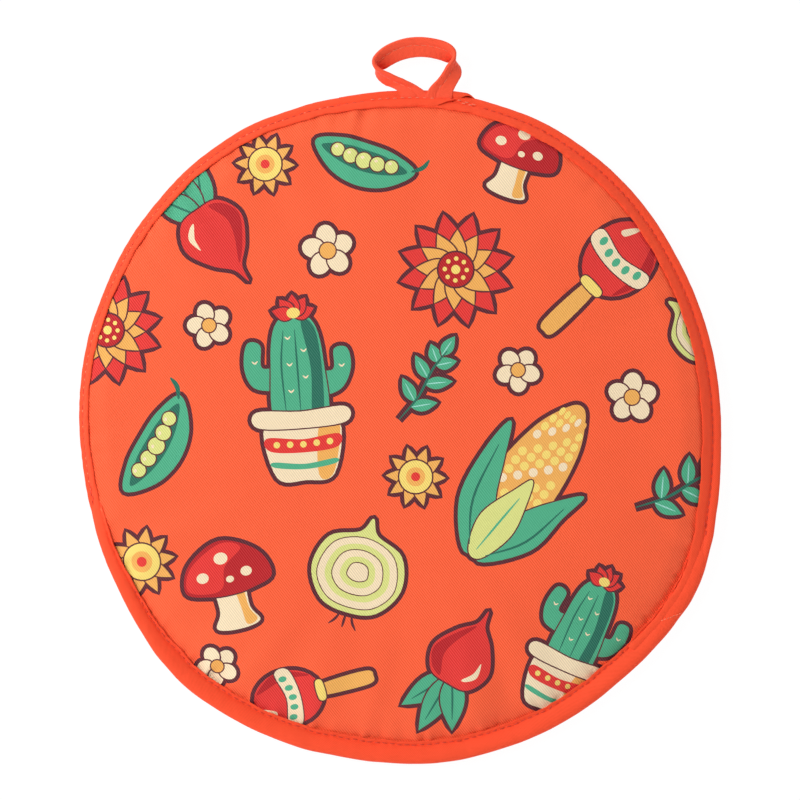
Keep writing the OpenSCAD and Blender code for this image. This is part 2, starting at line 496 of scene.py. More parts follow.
def swollen(shape: Array, by: float) -> Array:
    """A closed shape grown outwards by a distance, for its outline's ink.

    Args:
        shape: the closed shape.
        by: how far it grows.

    Returns:
        The grown shape.
    """
    area = np.sum(shape[:, 0] * np.roll(shape[:, 1], -1) - np.roll(shape[:, 0], -1) * shape[:, 1])
    ring = shape if area > 0 else shape[::-1]
    ahead, behind = np.roll(ring, -1, axis=0) - ring, ring - np.roll(ring, 1, axis=0)
    out = np.stack([ahead[:, 1] + behind[:, 1], -ahead[:, 0] - behind[:, 0]], axis=1)
    return ring + by * out / np.maximum(np.linalg.norm(out, axis=1), 1e-9)[:, None]


@dataclass
class Motif:
    """One printed figure: closed shapes painted one over another, about its own middle."""

    shapes: list[tuple[Array, Ink, float, bool]] = field(default_factory=list)

    def add(self, shape: Array, ink: Ink, line: float = 0.0, body: bool = False) -> "Motif":
        """Paints a shape.

        Args:
            shape: its points.
            ink: its colour.
            line: width of the dark line round it.
            body: whether it belongs to the figure's silhouette, which gets the thick line.

        Returns:
            The motif, so that calls can follow each other.
        """
        self.shapes.append((shape, ink, line, body))
        return self

    def layers(self, x: float, y: float, turn: float, scale: float,
               outline: float) -> list[tuple[Array, Ink]]:
        """The motif at its place on the cloth, lowest layer first.

        Args:
            x: its place across the cloth.
            y: its place up the cloth.
            turn: its turn.
            scale: its size.
            outline: width of the thick line round it.

        Returns:
            Each shape with its ink.
        """
        out = [(swollen(s * scale, outline), Ink.LINE) for s, _, _, body in self.shapes if body]
        for shape, ink, line, _ in self.shapes:
            if line:
                out.append((swollen(shape * scale, line), Ink.LINE))
            out.append((shape * scale, ink))
        return [(turned(s, turn) + (x, y), ink) for s, ink in out]


def cactus_in_pot() -> Motif:
    """A ribbed cactus with two arms and a flower, in a banded clay pot.

    Returns:
        The motif.
    """
    m = Motif()
    m.add(blob((-9, 2), (-20, 3), (-24, 12), (-22, 23), (-16, 22), (-16, 12), (-8, 11)), Ink.TEAL, 0.6, True)
    m.add(blob((9, -2), (19, 0), (24, 9), (23, 18), (17, 18), (16, 9), (8, 8)), Ink.TEAL, 0.6, True)
    m.add(blob((-11, -14), (-12, 12), (-9, 30), (0, 36), (9, 30), (12, 12), (11, -14)), Ink.TEAL, 0.6, True)
    m.add(blob((5, -13), (6, 10), (3, 32), (9, 28), (11, 10), (10, -13)), Ink.PINE)
    for x in (-6.5, 0.0):
        m.add(pen([(x, -10), (x * 1.1, 12), (x * 0.8, 28)], 0.9), Ink.PINE)
    for x, y in ((-3.4, 24), (-3.4, 12), (-3.6, 0), (3.4, 18), (3.4, 6), (-19, 14), (20, 10)):
        m.add(pen([(x - 1.3, y + 1.1), (x, y), (x + 1.3, y + 1.1)], 0.8, 3), Ink.CREAM)
    for k in range(5):
        m.add(leaf(0, 34, 10, 6, 18 + 36 * k), Ink.RED, 0.6, True)
    m.add(oval(0, 35.5, 3, 2.4), Ink.LEMON)
    m.add(blob((-17, -15), (-13, -38), (0, -40), (13, -38), (17, -15), (0, -14)), Ink.CREAM, 0.6, True)
    m.add(blob((8, -15), (6, -38), (13, -37), (17, -15)), Ink.AMBER)
    m.add(blob((-16.2, -20), (-15.2, -26), (0, -27.5), (15.2, -26), (16.2, -20), (0, -21.5)), Ink.RED)
    for k in range(5):
        m.add(oval(-12 + 6 * k, -23.8 + 0.25 * abs(k - 2), 1.5, 1.5, 0, 12), Ink.LEMON)
    m.add(blob((-14, -31), (0, -32.6), (14, -31), (13.6, -33.4), (0, -35), (-13.6, -33.4)), Ink.TEAL)
    m.add(blob((-20, -8), (0, -9), (20, -8), (20, -15), (0, -16.5), (-20, -15)), Ink.CREAM, 0.6, True)
    return m


def corn_cob() -> Motif:
    """A cob with rows of kernels between two husk leaves.

    Returns:
        The motif.
    """
    m = Motif()
    m.add(blob((-10, -32), (-15, -5), (-12, 22), (-5, 38), (0, 42), (5, 38), (12, 22), (15, -5), (10, -32)),
          Ink.AMBER, 0.6, True)
    for row in range(12):
        y = -20 + 5.0 * row
        half = 11.6 * math.sqrt(max(0.0, 1 - (max(0.0, y - 2) / 41) ** 2.0))
        for k in range(5):
            x = half * (k - 2) / 2.35
            ink = (Ink.LEMON, Ink.CREAM, Ink.LEMON, Ink.LEMON, Ink.AMBER)[(row * 2 + k * 3) % 5]
            m.add(oval(x, y, half / 5.6, 2.1, 0, 12), ink)
    m.add(blob((-4, -42), (-20, -24), (-24, 0), (-22, 18), (-14, 2), (-8, -12), (2, -30)),
          Ink.TEAL, 0.6, True)
    m.add(blob((4, -42), (20, -24), (23, -4), (25, 10), (14, -2), (6, -14), (-2, -30)),
          Ink.TEAL, 0.6, True)
    m.add(blob((-3, -40), (-8, -24), (-2, -6), (2, 2), (6, -8), (9, -24), (4, -40)), Ink.LIME, 0.6, True)
    m.add(pen([(-4, -38), (-15, -20), (-20, 6)], 1.1), Ink.PINE)
    m.add(pen([(5, -38), (16, -22), (21, 0)], 1.1), Ink.PINE)
    m.add(pen([(0, -38), (1, -22), (2, -8)], 1.0), Ink.TEAL)
    return m


def dahlia() -> Motif:
    """A round flower with two rings of petals and a dotted middle.

    Returns:
        The motif.
    """
    m = Motif()
    for k in range(12):
        m.add(leaf(0, 0, 27, 13, 30 * k + 15), Ink.RED, 0.7, True)
    for k in range(12):
        m.add(leaf(0, 0, 19, 9, 30 * k), Ink.AMBER, 0.7)
    m.add(oval(0, 0, 8.2, 8.2), Ink.WINE, 0.8)
    for k in range(8):
        m.add(oval(*(turned([(5.2, 0)], 45 * k)[0]), 1.1, 1.1, 0, 10), Ink.LEMON)
    m.add(oval(0, 0, 2.2, 2.2, 0, 14), Ink.LEMON)
    return m


def radish() -> Motif:
    """A round root with a tail and three leaves.

    Returns:
        The motif.
    """
    m = Motif()
    for turn, length in ((62, 34), (90, 38), (120, 33)):
        m.add(leaf(0, 9, length, 14, turn), Ink.TEAL, 0.7, True)
        way = turned([(length * 0.8, 0)], turn)[0]
        m.add(pen([(0, 10), tuple(way * 0.5 + (0, 9)), tuple(way + (0, 9))], 1.2), Ink.PINE)
    m.add(blob((-18, 0), (-12, 13), (0, 15), (12, 13), (18, 0), (11, -14), (2.5, -23), (0.5, -32),
               (-2.5, -23), (-11, -14)), Ink.RED, 0.7, True)
    m.add(blob((6, 13), (13, 10), (17, 0), (9, -14), (2, -21), (8, -8), (10, 2)), Ink.WINE)
    m.add(blob((-13, 4), (-9, 9), (-6, 9.5), (-10, 3), (-11, -4)), Ink.CREAM)
    return m


def onion_half() -> Motif:
    """A cut onion with its rings.

    Returns:
        The motif.
    """
    m = Motif()
    m.add(blob((-21, -3), (-17, 12), (-4, 18), (0, 25), (4, 18), (17, 12), (21, -3), (13, -16), (0, -19),
               (-13, -16)), Ink.LIME, 0.7, True)
    for k, ink in enumerate((Ink.CREAM, Ink.LIME, Ink.CREAM, Ink.LIME, Ink.CREAM)):
        s = 0.86 - 0.16 * k
        m.add(blob((-21 * s, -3 * s - 1), (-16 * s, 12 * s), (0, 18 * s), (16 * s, 12 * s),
                   (21 * s, -3 * s - 1), (13 * s, -16 * s), (0, -19 * s), (-13 * s, -16 * s)),
              ink, 0.45 if k % 2 == 0 else 0)
    for x in (-4, 0, 4):
        m.add(pen([(x * 0.6, -19), (x, -23), (x * 1.6, -26)], 1.2, 3), Ink.LINE)
    return m


def maraca() -> Motif:
    """A rattle with a banded head and a handle.

    Returns:
        The motif.
    """
    m = Motif()
    m.add(blob((-3, -6), (3, -6), (4, -34), (0, -38), (-4, -34)), Ink.AMBER, 0.6, True)
    m.add(oval(0, 12, 16, 20), Ink.RED, 0.7, True)
    m.add(blob((6, 29), (14, 20), (15.5, 10), (10, -3), (11, 12)), Ink.WINE)
    m.add(blob((-15.4, 16), (0, 13), (15.4, 16), (15.9, 8), (0, 5), (-15.9, 8)), Ink.CREAM, 0.5)
    for k in range(5):
        x = -11.4 + 5.7 * k
        m.add(oval(x, 9.4 + 0.022 * x * x, 1.7, 2.4, 0, 12), Ink.TEAL)
    m.add(blob((-9, 22), (-5, 28), (-3, 28), (-6, 21)), Ink.CREAM)
    m.add(blob((-5, -5), (5, -5), (5, -9), (-5, -9)), Ink.LEMON, 0.6)
    return m


def pea_pod() -> Motif:
    """An open pod with its peas in a row.

    Returns:
        The motif.
    """
    m = Motif()
    m.add(blob((-28, 4), (-16, -8), (0, -12), (16, -8), (28, 4), (15, 10), (0, 11), (-15, 10)),
          Ink.TEAL, 0.6, True)
    m.add(blob((-24, 3), (-14, -2), (0, -4), (14, -2), (24, 3), (12, 7), (0, 7.6), (-12, 7)), Ink.PINE)
    for k in range(5):
        x = -15 + 7.5 * k
        m.add(oval(x, 1.8 + 0.006 * x * x, 4.2 - abs(x) * 0.05, 4.2 - abs(x) * 0.05, 0, 18), Ink.LIME, 0.6)
        m.add(oval(x - 1.2, 3.2 + 0.006 * x * x, 1.0, 0.8, 20, 9), Ink.CREAM)
    m.add(pen([(26, 4), (31, 8), (33, 13)], 2.4), Ink.PINE)
    return m


def mushroom() -> Motif:
    """A capped mushroom with pale spots.

    Returns:
        The motif.
    """
    m = Motif()
    m.add(blob((-6, 2), (-7, -12), (-10, -19), (0, -21), (10, -19), (7, -12), (6, 2)), Ink.CREAM, 0.6, True)
    m.add(blob((2, 0), (3, -12), (4, -19.5), (9, -18), (6.4, -12), (5.6, 0)), Ink.AMBER)
    m.add(blob((-20, 0), (-16, 12), (0, 20), (16, 12), (20, 0), (10, -4), (0, -5), (-10, -4)),
          Ink.WINE, 0.6, True)
    m.add(blob((-19, 1), (-15, 11), (0, 18.6), (9, 15), (0, 8), (-3, -1), (-10, -2.6)), Ink.RED)
    for x, y, r in ((-11, 5, 2.8), (-1, 12, 3.2), (9, 4, 2.6), (1, 2, 1.8)):
        m.add(oval(x, y, r, r * 0.85, 0, 16), Ink.CREAM)
    return m


def sprig() -> Motif:
    """A stem with pairs of leaves.

    Returns:
        The motif.
    """
    m = Motif()
    stem = [(-2, -26), (1, -8), (0, 10), (2, 24)]
    m.add(pen(stem, 1.6), Ink.PINE, 0, True)
    for y, turn, length in ((-16, 40, 16), (-12, 148, 16), (0, 36, 17), (4, 150, 16), (13, 42, 13),
                            (15, 140, 12), (20, 86, 14)):
        m.add(leaf(0.5, y, length, 7.5, turn), Ink.TEAL, 0.6, True)
        m.add(pen([(0.5, y), tuple(turned([(length * 0.75, 0)], turn)[0] + (0.5, y))], 0.8, 4), Ink.MINT)
    m.add(pen(stem, 1.6), Ink.PINE)
    return m


def blossom() -> Motif:
    """A small flower of five pale petals.

    Returns:
        The motif.
    """
    m = Motif()
    for k in range(5):
        m.add(oval(*(turned([(6.6, 0)], 72 * k + 18)[0]), 5.2, 4.4, 72 * k + 18, 18), Ink.CREAM, 0.7, True)
    m.add(oval(0, 0, 3.6, 3.6, 0, 16), Ink.AMBER, 0.6)
    return m


def bright_sun() -> Motif:
    """A small sun of short rays with a dotted face of rings.

    Returns:
        The motif.
    """
    m = Motif()
    for k in range(10):
        m.add(leaf(0, 0, 17, 7, 36 * k), Ink.AMBER, 0.6, True)
    m.add(oval(0, 0, 9.2, 9.2), Ink.LEMON, 0.7)
    m.add(oval(0, 0, 5.4, 5.4, 0, 20), Ink.AMBER)
    m.add(oval(0, 0, 2.6, 2.6, 0, 14), Ink.RED)
    return m


@dataclass(frozen=True)
class Placing:
    """Where one motif is printed: its place in millimetres, its turn and its size."""

    make: Callable[[], Motif]
    x: float
    y: float
    turn: float = 0.0
    scale: float = 1.0


# The print's repeat, scattered as listed. What runs past the edge is cut off by the binding.
FRONT_LAYOUT = tuple(Placing(*row) for row in (
    (cactus_in_pot, -46, 14, 7, 1.0),
    (corn_cob, 58, -22, -34, 1.0),
    (dahlia, 22, 72, 0, 0.95),
    (onion_half, -16, -66, -14, 1.0),
    (radish, -88, 84, 38, 0.85),
    (maraca, 88, 72, -44, 0.95),
    (pea_pod, -108, -14, 62, 0.9),
    (mushroom, -74, -74, 16, 1.0),
    (cactus_in_pot, 84, -94, -22, 0.85),
    (sprig, 10, 20, -28, 0.75),
    (blossom, -36, 78, 10, 1.0),
    (blossom, 104, 18, 0, 0.95),
    (dahlia, -134, 38, 0, 0.9),
    (mushroom, 48, 124, -18, 0.9),
    (pea_pod, -22, 118, -16, 0.85),
    (sprig, 128, -22, -60, 0.85),
    (radish, 32, -104, 152, 0.8),
    (maraca, -36, -122, 108, 0.8),
    (bright_sun, 8, -22, 0, 0.8),
    (bright_sun, -114, -66, 12, 0.9),
    (onion_half, 136, 52, 60, 0.8),
    (blossom, -78, -112, 30, 0.8),
    (bright_sun, -66, 116, 0, 0.8),
    (blossom, -88, 42, 20, 0.85),
    (blossom, 52, 28, 40, 0.85),
))


# ---------------------------------------------------------------- materials


def node(tree: bpy.types.NodeTree, kind: str, inputs: Optional[dict] = None,
         **settings: object) -> bpy.types.Node:
    """Adds a shader node with its settings, values and links.

    Args:
        tree: the node tree.
        kind: the node's type name, without its "ShaderNode".
        inputs: socket name or number to a value, or to the output socket that feeds it.
        **settings: the node's own properties.

    Returns:
        The new node.
    """
    made = tree.nodes.new("ShaderNode" + kind)
    for name, value in settings.items():
        setattr(made, name, value)
    for key, value in (inputs or {}).items():
        if isinstance(value, bpy.types.NodeSocket):
            tree.links.new(value, made.inputs[key])
        else:
            made.inputs[key].default_value = value
    return made


def blank_material(name: str) -> tuple[bpy.types.Material, bpy.types.NodeTree]:
    """A material with an empty node tree.

    Args:
        name: the material's name.

    Returns:
        The material and its node tree.
    """
    material = bpy.data.materials.new(name)
    material.use_nodes = True
    material.node_tree.nodes.clear()
    return material, material.node_tree


def plain_colour(tree: bpy.types.NodeTree, colour: str) -> bpy.types.NodeSocket:
    """Adds one even colour.

    Args:
        tree: the node tree.
        colour: six hex digits.

    Returns:
        The socket that gives it.
    """
    flat = node(tree, "RGB")
    flat.outputs[0].default_value = (*linear(colour), 1)
    return flat.outputs[0]


def fibre_material(name: str, colour: str, pattern: Callable, tone: tuple[float, float],
                   bump: tuple[float, float], roughness: float) -> bpy.types.Material:
    """Makes a dull material of one colour whose fibres lighten, darken and raise it.

    Args:
        name: the material's name.
        colour: six hex digits.
        pattern: adds the fibres' pattern node to a tree, on a place socket.
        tone: how much the pattern lightens the colour, and the tone it starts from.
        bump: strength and depth in millimetres of the relief.
        roughness: the surface's roughness.

    Returns:
        The material.
    """
    material, tree = blank_material(name)
    coords = node(tree, "TexCoord")
    fibres = pattern(tree, coords.outputs["Object"]).outputs["Fac"]
    value = node(tree, "Math", {0: fibres, 1: tone[0], 2: tone[1]}, operation="MULTIPLY_ADD")
    dyed = node(tree, "VectorMath", {0: plain_colour(tree, colour), "Scale": value.outputs[0]},
                operation="SCALE")
    relief = node(tree, "Bump", {"Height": fibres, "Strength": bump[0], "Distance": bump[1] * MM})
    shader = node(tree, "BsdfPrincipled", {
        "Base Color": dyed.outputs[0], "Normal": relief.outputs[0], "Roughness": roughness, "IOR": 1.45})
    node(tree, "OutputMaterial", {"Surface": shader.outputs[0]})
    return material


@dataclass(frozen=True)
class WovenCloth:
    """Woven polyester microfibre: dull, with a fine diagonal rib and a faint bloom at grazing angles.

    The real rib is about 0.5 mm. It is drawn coarser, at 0.95 mm and on the tapes at 0.7 mm, so that the
    picture can hold it.
    """

    name: str
    colour: str
    rib: float = 0.95
    rib_depth: float = 0.08
    shade: float = 0.24
    # glint: white added along the rib, a painted highlight of the yarns catching the light
    glint: float = 0.04
    roughness: float = 0.72
    sheen: float = 0.12
    specular: float = 0.25
    printed: bool = False
    on_tape: bool = False

    def build(self) -> bpy.types.Material:
        """Makes the material.

        Returns:
            The cloth, with its rib and its colour or print.
        """
        material, tree = blank_material(self.name)
        coords = node(tree, "TexCoord")
        place = coords.outputs["UV" if self.on_tape else "Object"]
        turn = node(tree, "Mapping", {"Vector": place, "Rotation": (0, 0, math.radians(-39.5))})
        rate = 2 * math.pi / 20 / (self.rib * MM)
        rib = node(tree, "TexWave", {"Vector": turn.outputs[0], "Scale": rate, "Distortion": 0.25,
                                     "Detail": 1.0, "Detail Scale": 1.5})
        cross = node(tree, "TexWave", {"Vector": turn.outputs[0], "Scale": rate * 1.7,
                                       "Distortion": 0.3}, bands_direction="Y")
        weave = node(tree, "Math", {0: cross.outputs["Fac"], 1: 0.25, 2: rib.outputs["Fac"]},
                     operation="MULTIPLY_ADD")
        mottle = node(tree, "TexNoise", {"Vector": place, "Scale": 1 / (38 * MM), "Detail": 3.0,
                                         "Roughness": 0.55})
        fleck = node(tree, "TexNoise", {"Vector": place, "Scale": 1 / (1.3 * MM), "Detail": 2.0})
        darker = node(tree, "Math", {0: weave.outputs[0], 1: self.shade, 2: 1 - self.shade * 0.62},
                      operation="MULTIPLY_ADD")
        value = darker.outputs[0]
        for pattern, amount, least in ((mottle, 0.10, 0.95), (fleck, 0.06, 0.97)):
            tone = node(tree, "Math", {0: pattern.outputs["Fac"], 1: amount, 2: least},
                        operation="MULTIPLY_ADD")
            value = node(tree, "Math", {0: value, 1: tone.outputs[0]}, operation="MULTIPLY").outputs[0]
        if self.printed:
            ink = node(tree, "Attribute", attribute_name="print").outputs["Color"]
        else:
            ink = plain_colour(tree, self.colour)
        dyed = node(tree, "VectorMath", {0: ink, "Scale": value}, operation="SCALE")
        # painted highlight: white added where the rib rises, standing in for light caught by the yarns
        shine = node(tree, "Math", {0: weave.outputs[0], 1: self.glint, 2: -0.62 * self.glint},
                     operation="MULTIPLY_ADD")
        colour = node(tree, "VectorMath", {0: dyed.outputs[0], 1: shine.outputs[0]},
                      operation="ADD")
        bump = node(tree, "Bump", {"Height": weave.outputs[0], "Strength": 0.5,
                                   "Distance": self.rib_depth * MM})
        shader = node(tree, "BsdfPrincipled", {
            "Base Color": colour.outputs[0], "Normal": bump.outputs[0], "Roughness": self.roughness,
            "Sheen Weight": self.sheen, "Sheen Roughness": 0.45, "Specular IOR Level": self.specular,
            "IOR": 1.45})
        node(tree, "OutputMaterial", {"Surface": shader.outputs[0]})
        return material


@dataclass(frozen=True)
class SpunThread:
    """Spun polyester sewing thread: two plies laid together, slightly glossy where it rounds over."""

    name: str
    colour: str
    ply: float = 0.45

    def build(self) -> bpy.types.Material:
        """Makes the material.

        Returns:
            The thread, with its plies drawn slantwise.
        """
        def plies(tree: bpy.types.NodeTree, place: bpy.types.NodeSocket) -> bpy.types.Node:
            """Adds the plies' slanting bands."""
            return node(tree, "TexWave", {"Vector": place, "Scale": 0.444 / (self.ply * MM)},
                        bands_direction="DIAGONAL")

        return fibre_material(self.name, self.colour, plies, tone=(0.3, 0.85), bump=(0.4, 0.08),
                              roughness=0.55)


@dataclass(frozen=True)
class LoftedWadding:
    """Bonded polyester wadding: pale, very dull, with soft clumps of fibre."""

    name: str
    colour: str
    clump: float = 3.0

    def build(self) -> bpy.types.Material:
        """Makes the material.

        Returns:
            The wadding, clouded by its clumps.
        """
        def clumps(tree: bpy.types.NodeTree, place: bpy.types.NodeSocket) -> bpy.types.Node:
            """Adds the clumps' cloudy noise."""
            return node(tree, "TexNoise", {"Vector": place, "Scale": 1 / (self.clump * MM),
                                           "Detail": 6.0})

        return fibre_material(self.name, self.colour, clumps, tone=(0.3, 0.8), bump=(0.6, 0.5),
                              roughness=0.95)


@dataclass(frozen=True)
class Finishes:
    """Every finish of the pouch, made once and shared by its pieces."""

    print_cloth: bpy.types.Material
    lining: bpy.types.Material
    tape: bpy.types.Material
    loop_tape: bpy.types.Material
    wadding: bpy.types.Material
    thread: bpy.types.Material
    pale_thread: bpy.types.Material

    @classmethod
    def build(cls) -> "Finishes":
        """Makes all the materials.

        Returns:
            The finishes.
        """
        return cls(
            print_cloth=WovenCloth("printed_microfibre_twill", "fb613a", printed=True).build(),
            lining=WovenCloth("plain_lining_cloth", "f0763f", shade=0.2, glint=0.02).build(),
            tape=WovenCloth("woven_bias_tape", "fb5332", rib=0.7, rib_depth=0.06, shade=0.17, glint=0.012,
                            roughness=0.62, sheen=0.03, specular=0.1, on_tape=True).build(),
            loop_tape=WovenCloth("woven_loop_tape", "fc5737", rib=0.7, rib_depth=0.03, shade=0.05, glint=0.0,
                                 roughness=0.62, sheen=0.12, on_tape=True).build(),
            wadding=LoftedWadding("bonded_wadding", "f3eee4").build(),
            thread=SpunThread("spun_sewing_thread", "dd432b").build(),
            # thread drawn paler than the tape: a painted highlight where the thread catches the light
            pale_thread=SpunThread("spun_thread_highlight", "f47f5e").build(),
        )


# ---------------------------------------------------------------- surfaces of the padded panels


@dataclass(frozen=True)
class Levels:
    """Heights that the visible pieces share, taken from the CAD frame."""

    rim_low: float
    rim_top: float
    crown_top: float
    floor: float
    parting: float = 1.8

    @property
    def middle(self) -> float:
        """Height of the seam between the two panels."""
        return (self.rim_low + self.rim_top) / 2

    @property
    def mouth(self) -> float:
        """Height of the front panel's own edge at the mouth, which parts from the back panel's."""
        return self.middle + self.parting

    @classmethod
    def from_frame(cls) -> "Levels":
        """Reads the heights from the CAD nodes.

        Returns:
            The heights in millimetres.
        """
        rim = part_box("rim_binding")
        return cls(
            rim_low=rim[0].z / MM,
            rim_top=rim[1].z / MM,
            crown_top=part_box("front_outer_flap")[1].z / MM,
            floor=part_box("back_lining")[1].z / MM,
        )


@dataclass(frozen=True)
class BoundEdge:
    """How a bound edge lies round the pouch, in rows of (angle, value) stops.

    The rows give its tape's width, its lean from flat, its inset from the outline and its hem's lift. An edge
    that leans up looks narrow from the front.
    """

    widths: tuple
    leans: tuple
    insets: tuple
    lifts: tuple

    def width(self, angle: Array) -> Array:
        """Width of the tape from its fold to its hem."""
        return through(angle, self.widths)

    def lean(self, angle: Array) -> Array:
        """How far the edge leans up, in radians."""
        return np.radians(through(angle, self.leans))

    def inset(self, angle: Array) -> Array:
        """How far the tape's fold lies in from the pouch's outline."""
        return through(angle, self.insets)

    def lift(self, angle: Array) -> Array:
        """How far the padding pushes the tape's hem up, or the stitching pulls it down."""
        return through(angle, self.lifts)

    def hem_lift(self, angle: Array, d: Array) -> Array:
        """The lift's share at a distance from the fold: it starts at the stitching and grows to the hem."""
        return self.lift(angle) * np.clip((d - 4.4) / (self.width(angle) - 4.4), 0, 1) ** 1.3


MOUTH_EDGE = BoundEdge(
    widths=((-45, 8.0), (-28, 8.6), (-12, 9.7), (10, 10.2), (50, 9.8), (85, 8.7), (140, 8.0), (175, 7.6),
            (188, 7.4), (194.4, 7.2), (199.5, 6.4), (215, 6.0)),
    leans=((-45, 0), (-14, 8), (2, 22), (45, 26), (85, 30), (110, 34), (150, 46), (180, 54), (190, 50),
           (199.5, 38), (215, 30)),
    insets=((-45, 1.6), (-30, 1.0), (-15, 0.3), (-5, 0), (60, 0), (150, 0.4), (185, 0.5), (200, 1.2),
            (215, 1.4)),
    lifts=((-45, 0), (-25, 0.5), (-12, 1.5), (10, 1.8), (40, 1.3), (70, 0.5), (100, 0), (215, 0)),
)

RIM_EDGE = BoundEdge(
    widths=((190, 6.4), (194.4, 7.2), (199, 8.3), (207, 8.0), (218, 8.8), (231, 10.5), (322, 10.5),
            (336, 10.0), (342, 7.2), (346, 3.2)),
    leans=((190, 48), (194.4, 44), (199, 38), (207, 22), (218, 8), (228, 0), (346, 0)),
    insets=((190, 1.4), (195, 1.1), (203, 0.4), (213, 0), (330, 0), (344, 0.5)),
    lifts=((190, 0), (205, -0.4), (222, -1.25), (318, -1.25), (332, -0.5), (340, 0), (346, 0)),
)


@dataclass(frozen=True)
class FrontForm:
    """Heights of the front panel's two faces over the whole round."""

    outline: Round
    levels: Levels
    rise: tuple = ((-20, 62), (20, 64), (60, 52), (110, 36), (190, 36), (240, 50), (300, 60))
    fullness: tuple = ((-20, 2.0), (20, 2.0), (60, 2.3), (110, 2.8), (190, 2.8), (240, 2.2), (300, 2.0))
    roll: tuple = ((-20, 1.6), (10, 1.9), (60, 1.4), (110, 1.0), (190, 1.0), (215, 2.0), (320, 2.2))
    curl: tuple = ((-20, 1.5), (10, 1.3), (110, 1.5), (190, 1.7), (215, 2.7), (320, 2.7))
    crown_drop: float = 6.5
    thick: float = 5.0
    in_mouth_tape: float = 0.35
    in_rim_tape: float = 1.35
    rises_at: float = 0.4
    freed_by: float = 9.0
    rim_lift: float = 0.76
    edge_thick: float = 0.8
    # angle, depth, half width across and reach inwards of each fold caught under the needle
    caught: tuple = (
        (99, 1.9, 2.5, 12), (104, 0.8, 2.2, 8), (139, 1.1, 5.5, 20), (147, 0.8, 4.0, 16),
        (133, 0.6, 3.5, 12), (8, 0.9, 3.4, 12), (3, 0.6, 3.0, 9), (-15, 1.0, 3.6, 14),
        (-21, 0.7, 3.2, 12), (236, 0.9, 5.0, 20), (252, 0.8, 5.5, 22), (268, 0.9, 5.0, 18),
        (281, 1.0, 6.0, 24), (292, 0.8, 4.5, 18), (304, 0.7, 5.0, 18),
    )

    def edge_line(self, angle: Array) -> tuple[Array, Array]:
        """Inset and height of the line where the printed cloth comes out of its binding.

        Args:
            angle: degrees from +X.

        Returns:
            The insets and the heights.
        """
        open_share = self.outline.mouth_share(angle)
        lean, width = MOUTH_EDGE.lean(angle), MOUTH_EDGE.width(angle)
        mouth_s = MOUTH_EDGE.inset(angle) + width * np.cos(lean) - self.in_mouth_tape * np.sin(lean)
        mouth_z = self.levels.mouth + width * np.sin(lean) + self.in_mouth_tape * np.cos(lean)
        mouth_z = mouth_z + MOUTH_EDGE.lift(angle)
        lean, width = RIM_EDGE.lean(angle), RIM_EDGE.width(angle)
        rim_s = width * np.cos(lean) - self.in_rim_tape * np.sin(lean)
        rim_z = self.levels.middle + width * np.sin(lean) + self.in_rim_tape * np.cos(lean)
        rim_z = rim_z + self.rim_lift * RIM_EDGE.lift(angle)
        inset = open_share * mouth_s + (1 - open_share) * rim_s
        height = open_share * mouth_z + (1 - open_share) * rim_z
        return inset, height

    def in_tape(self, s: Array, angle: Array) -> Array:
        """Height of the printed cloth where its binding covers it.

        Args:
            s: how far in from the outline.
            angle: degrees from +X.

        Returns:
            The heights.
        """
        open_share = self.outline.mouth_share(angle)
        lean = MOUTH_EDGE.lean(angle)
        along = np.maximum(s - MOUTH_EDGE.inset(angle), 0)
        mouth_z = self.levels.mouth + self.in_mouth_tape / np.cos(lean) + along * np.tan(lean)
        mouth_z = mouth_z + MOUTH_EDGE.hem_lift(angle, along / np.cos(lean))
        lean = RIM_EDGE.lean(angle)
        rim_z = self.levels.middle + self.in_rim_tape / np.cos(lean) + s * np.tan(lean)
        rim_z = rim_z + self.rim_lift * RIM_EDGE.lift(angle)
        return open_share * mouth_z + (1 - open_share) * rim_z

    def plain_top(self, x: Array, y: Array) -> Array:
        """Height of the printed face before it is rumpled.

        Args:
            x: place across.
            y: place up.

        Returns:
            The heights.
        """
        s, a = self.outline.polar(x, y)
        edge_s, edge_z = self.edge_line(a)
        share = np.clip(1 - s / self.outline.at(a), 0, 1)
        dome = self.levels.crown_top - self.crown_drop * share**2.6
        past = s - edge_s - self.rises_at
        t = np.clip(past / through(a, self.rise), 0, 1)
        inner = edge_z + (dome - edge_z) * (1 - (1 - t) ** through(a, self.fullness))
        curled = 1 - np.exp(-np.maximum(past, 0) / through(a, self.curl))
        inner = inner + through(a, self.roll) * curled * (1 - t) ** 2
        return np.where(s < edge_s, self.in_tape(s, a), inner)

    def thickness(self, x: Array, y: Array) -> Array:
        """Thickness of the panel: pressed flat in its binding, full further in.

        Args:
            x: place across.
            y: place up.

        Returns:
            The thickness at each point.
        """
        s, a = self.outline.polar(x, y)
        edge_s, _ = self.edge_line(a)
        return self.edge_thick + (self.thick - self.edge_thick) * eased(s, edge_s - 1, edge_s + 13)

    def free_share(self, x: Array, y: Array) -> Array:
        """How far the cloths have come free of their binding, from 0 to 1.

        Args:
            x: place across.
            y: place up.

        Returns:
            The share at each point.
        """
        s, a = self.outline.polar(x, y)
        edge_s, _ = self.edge_line(a)
        return eased(s, edge_s, edge_s + self.freed_by)

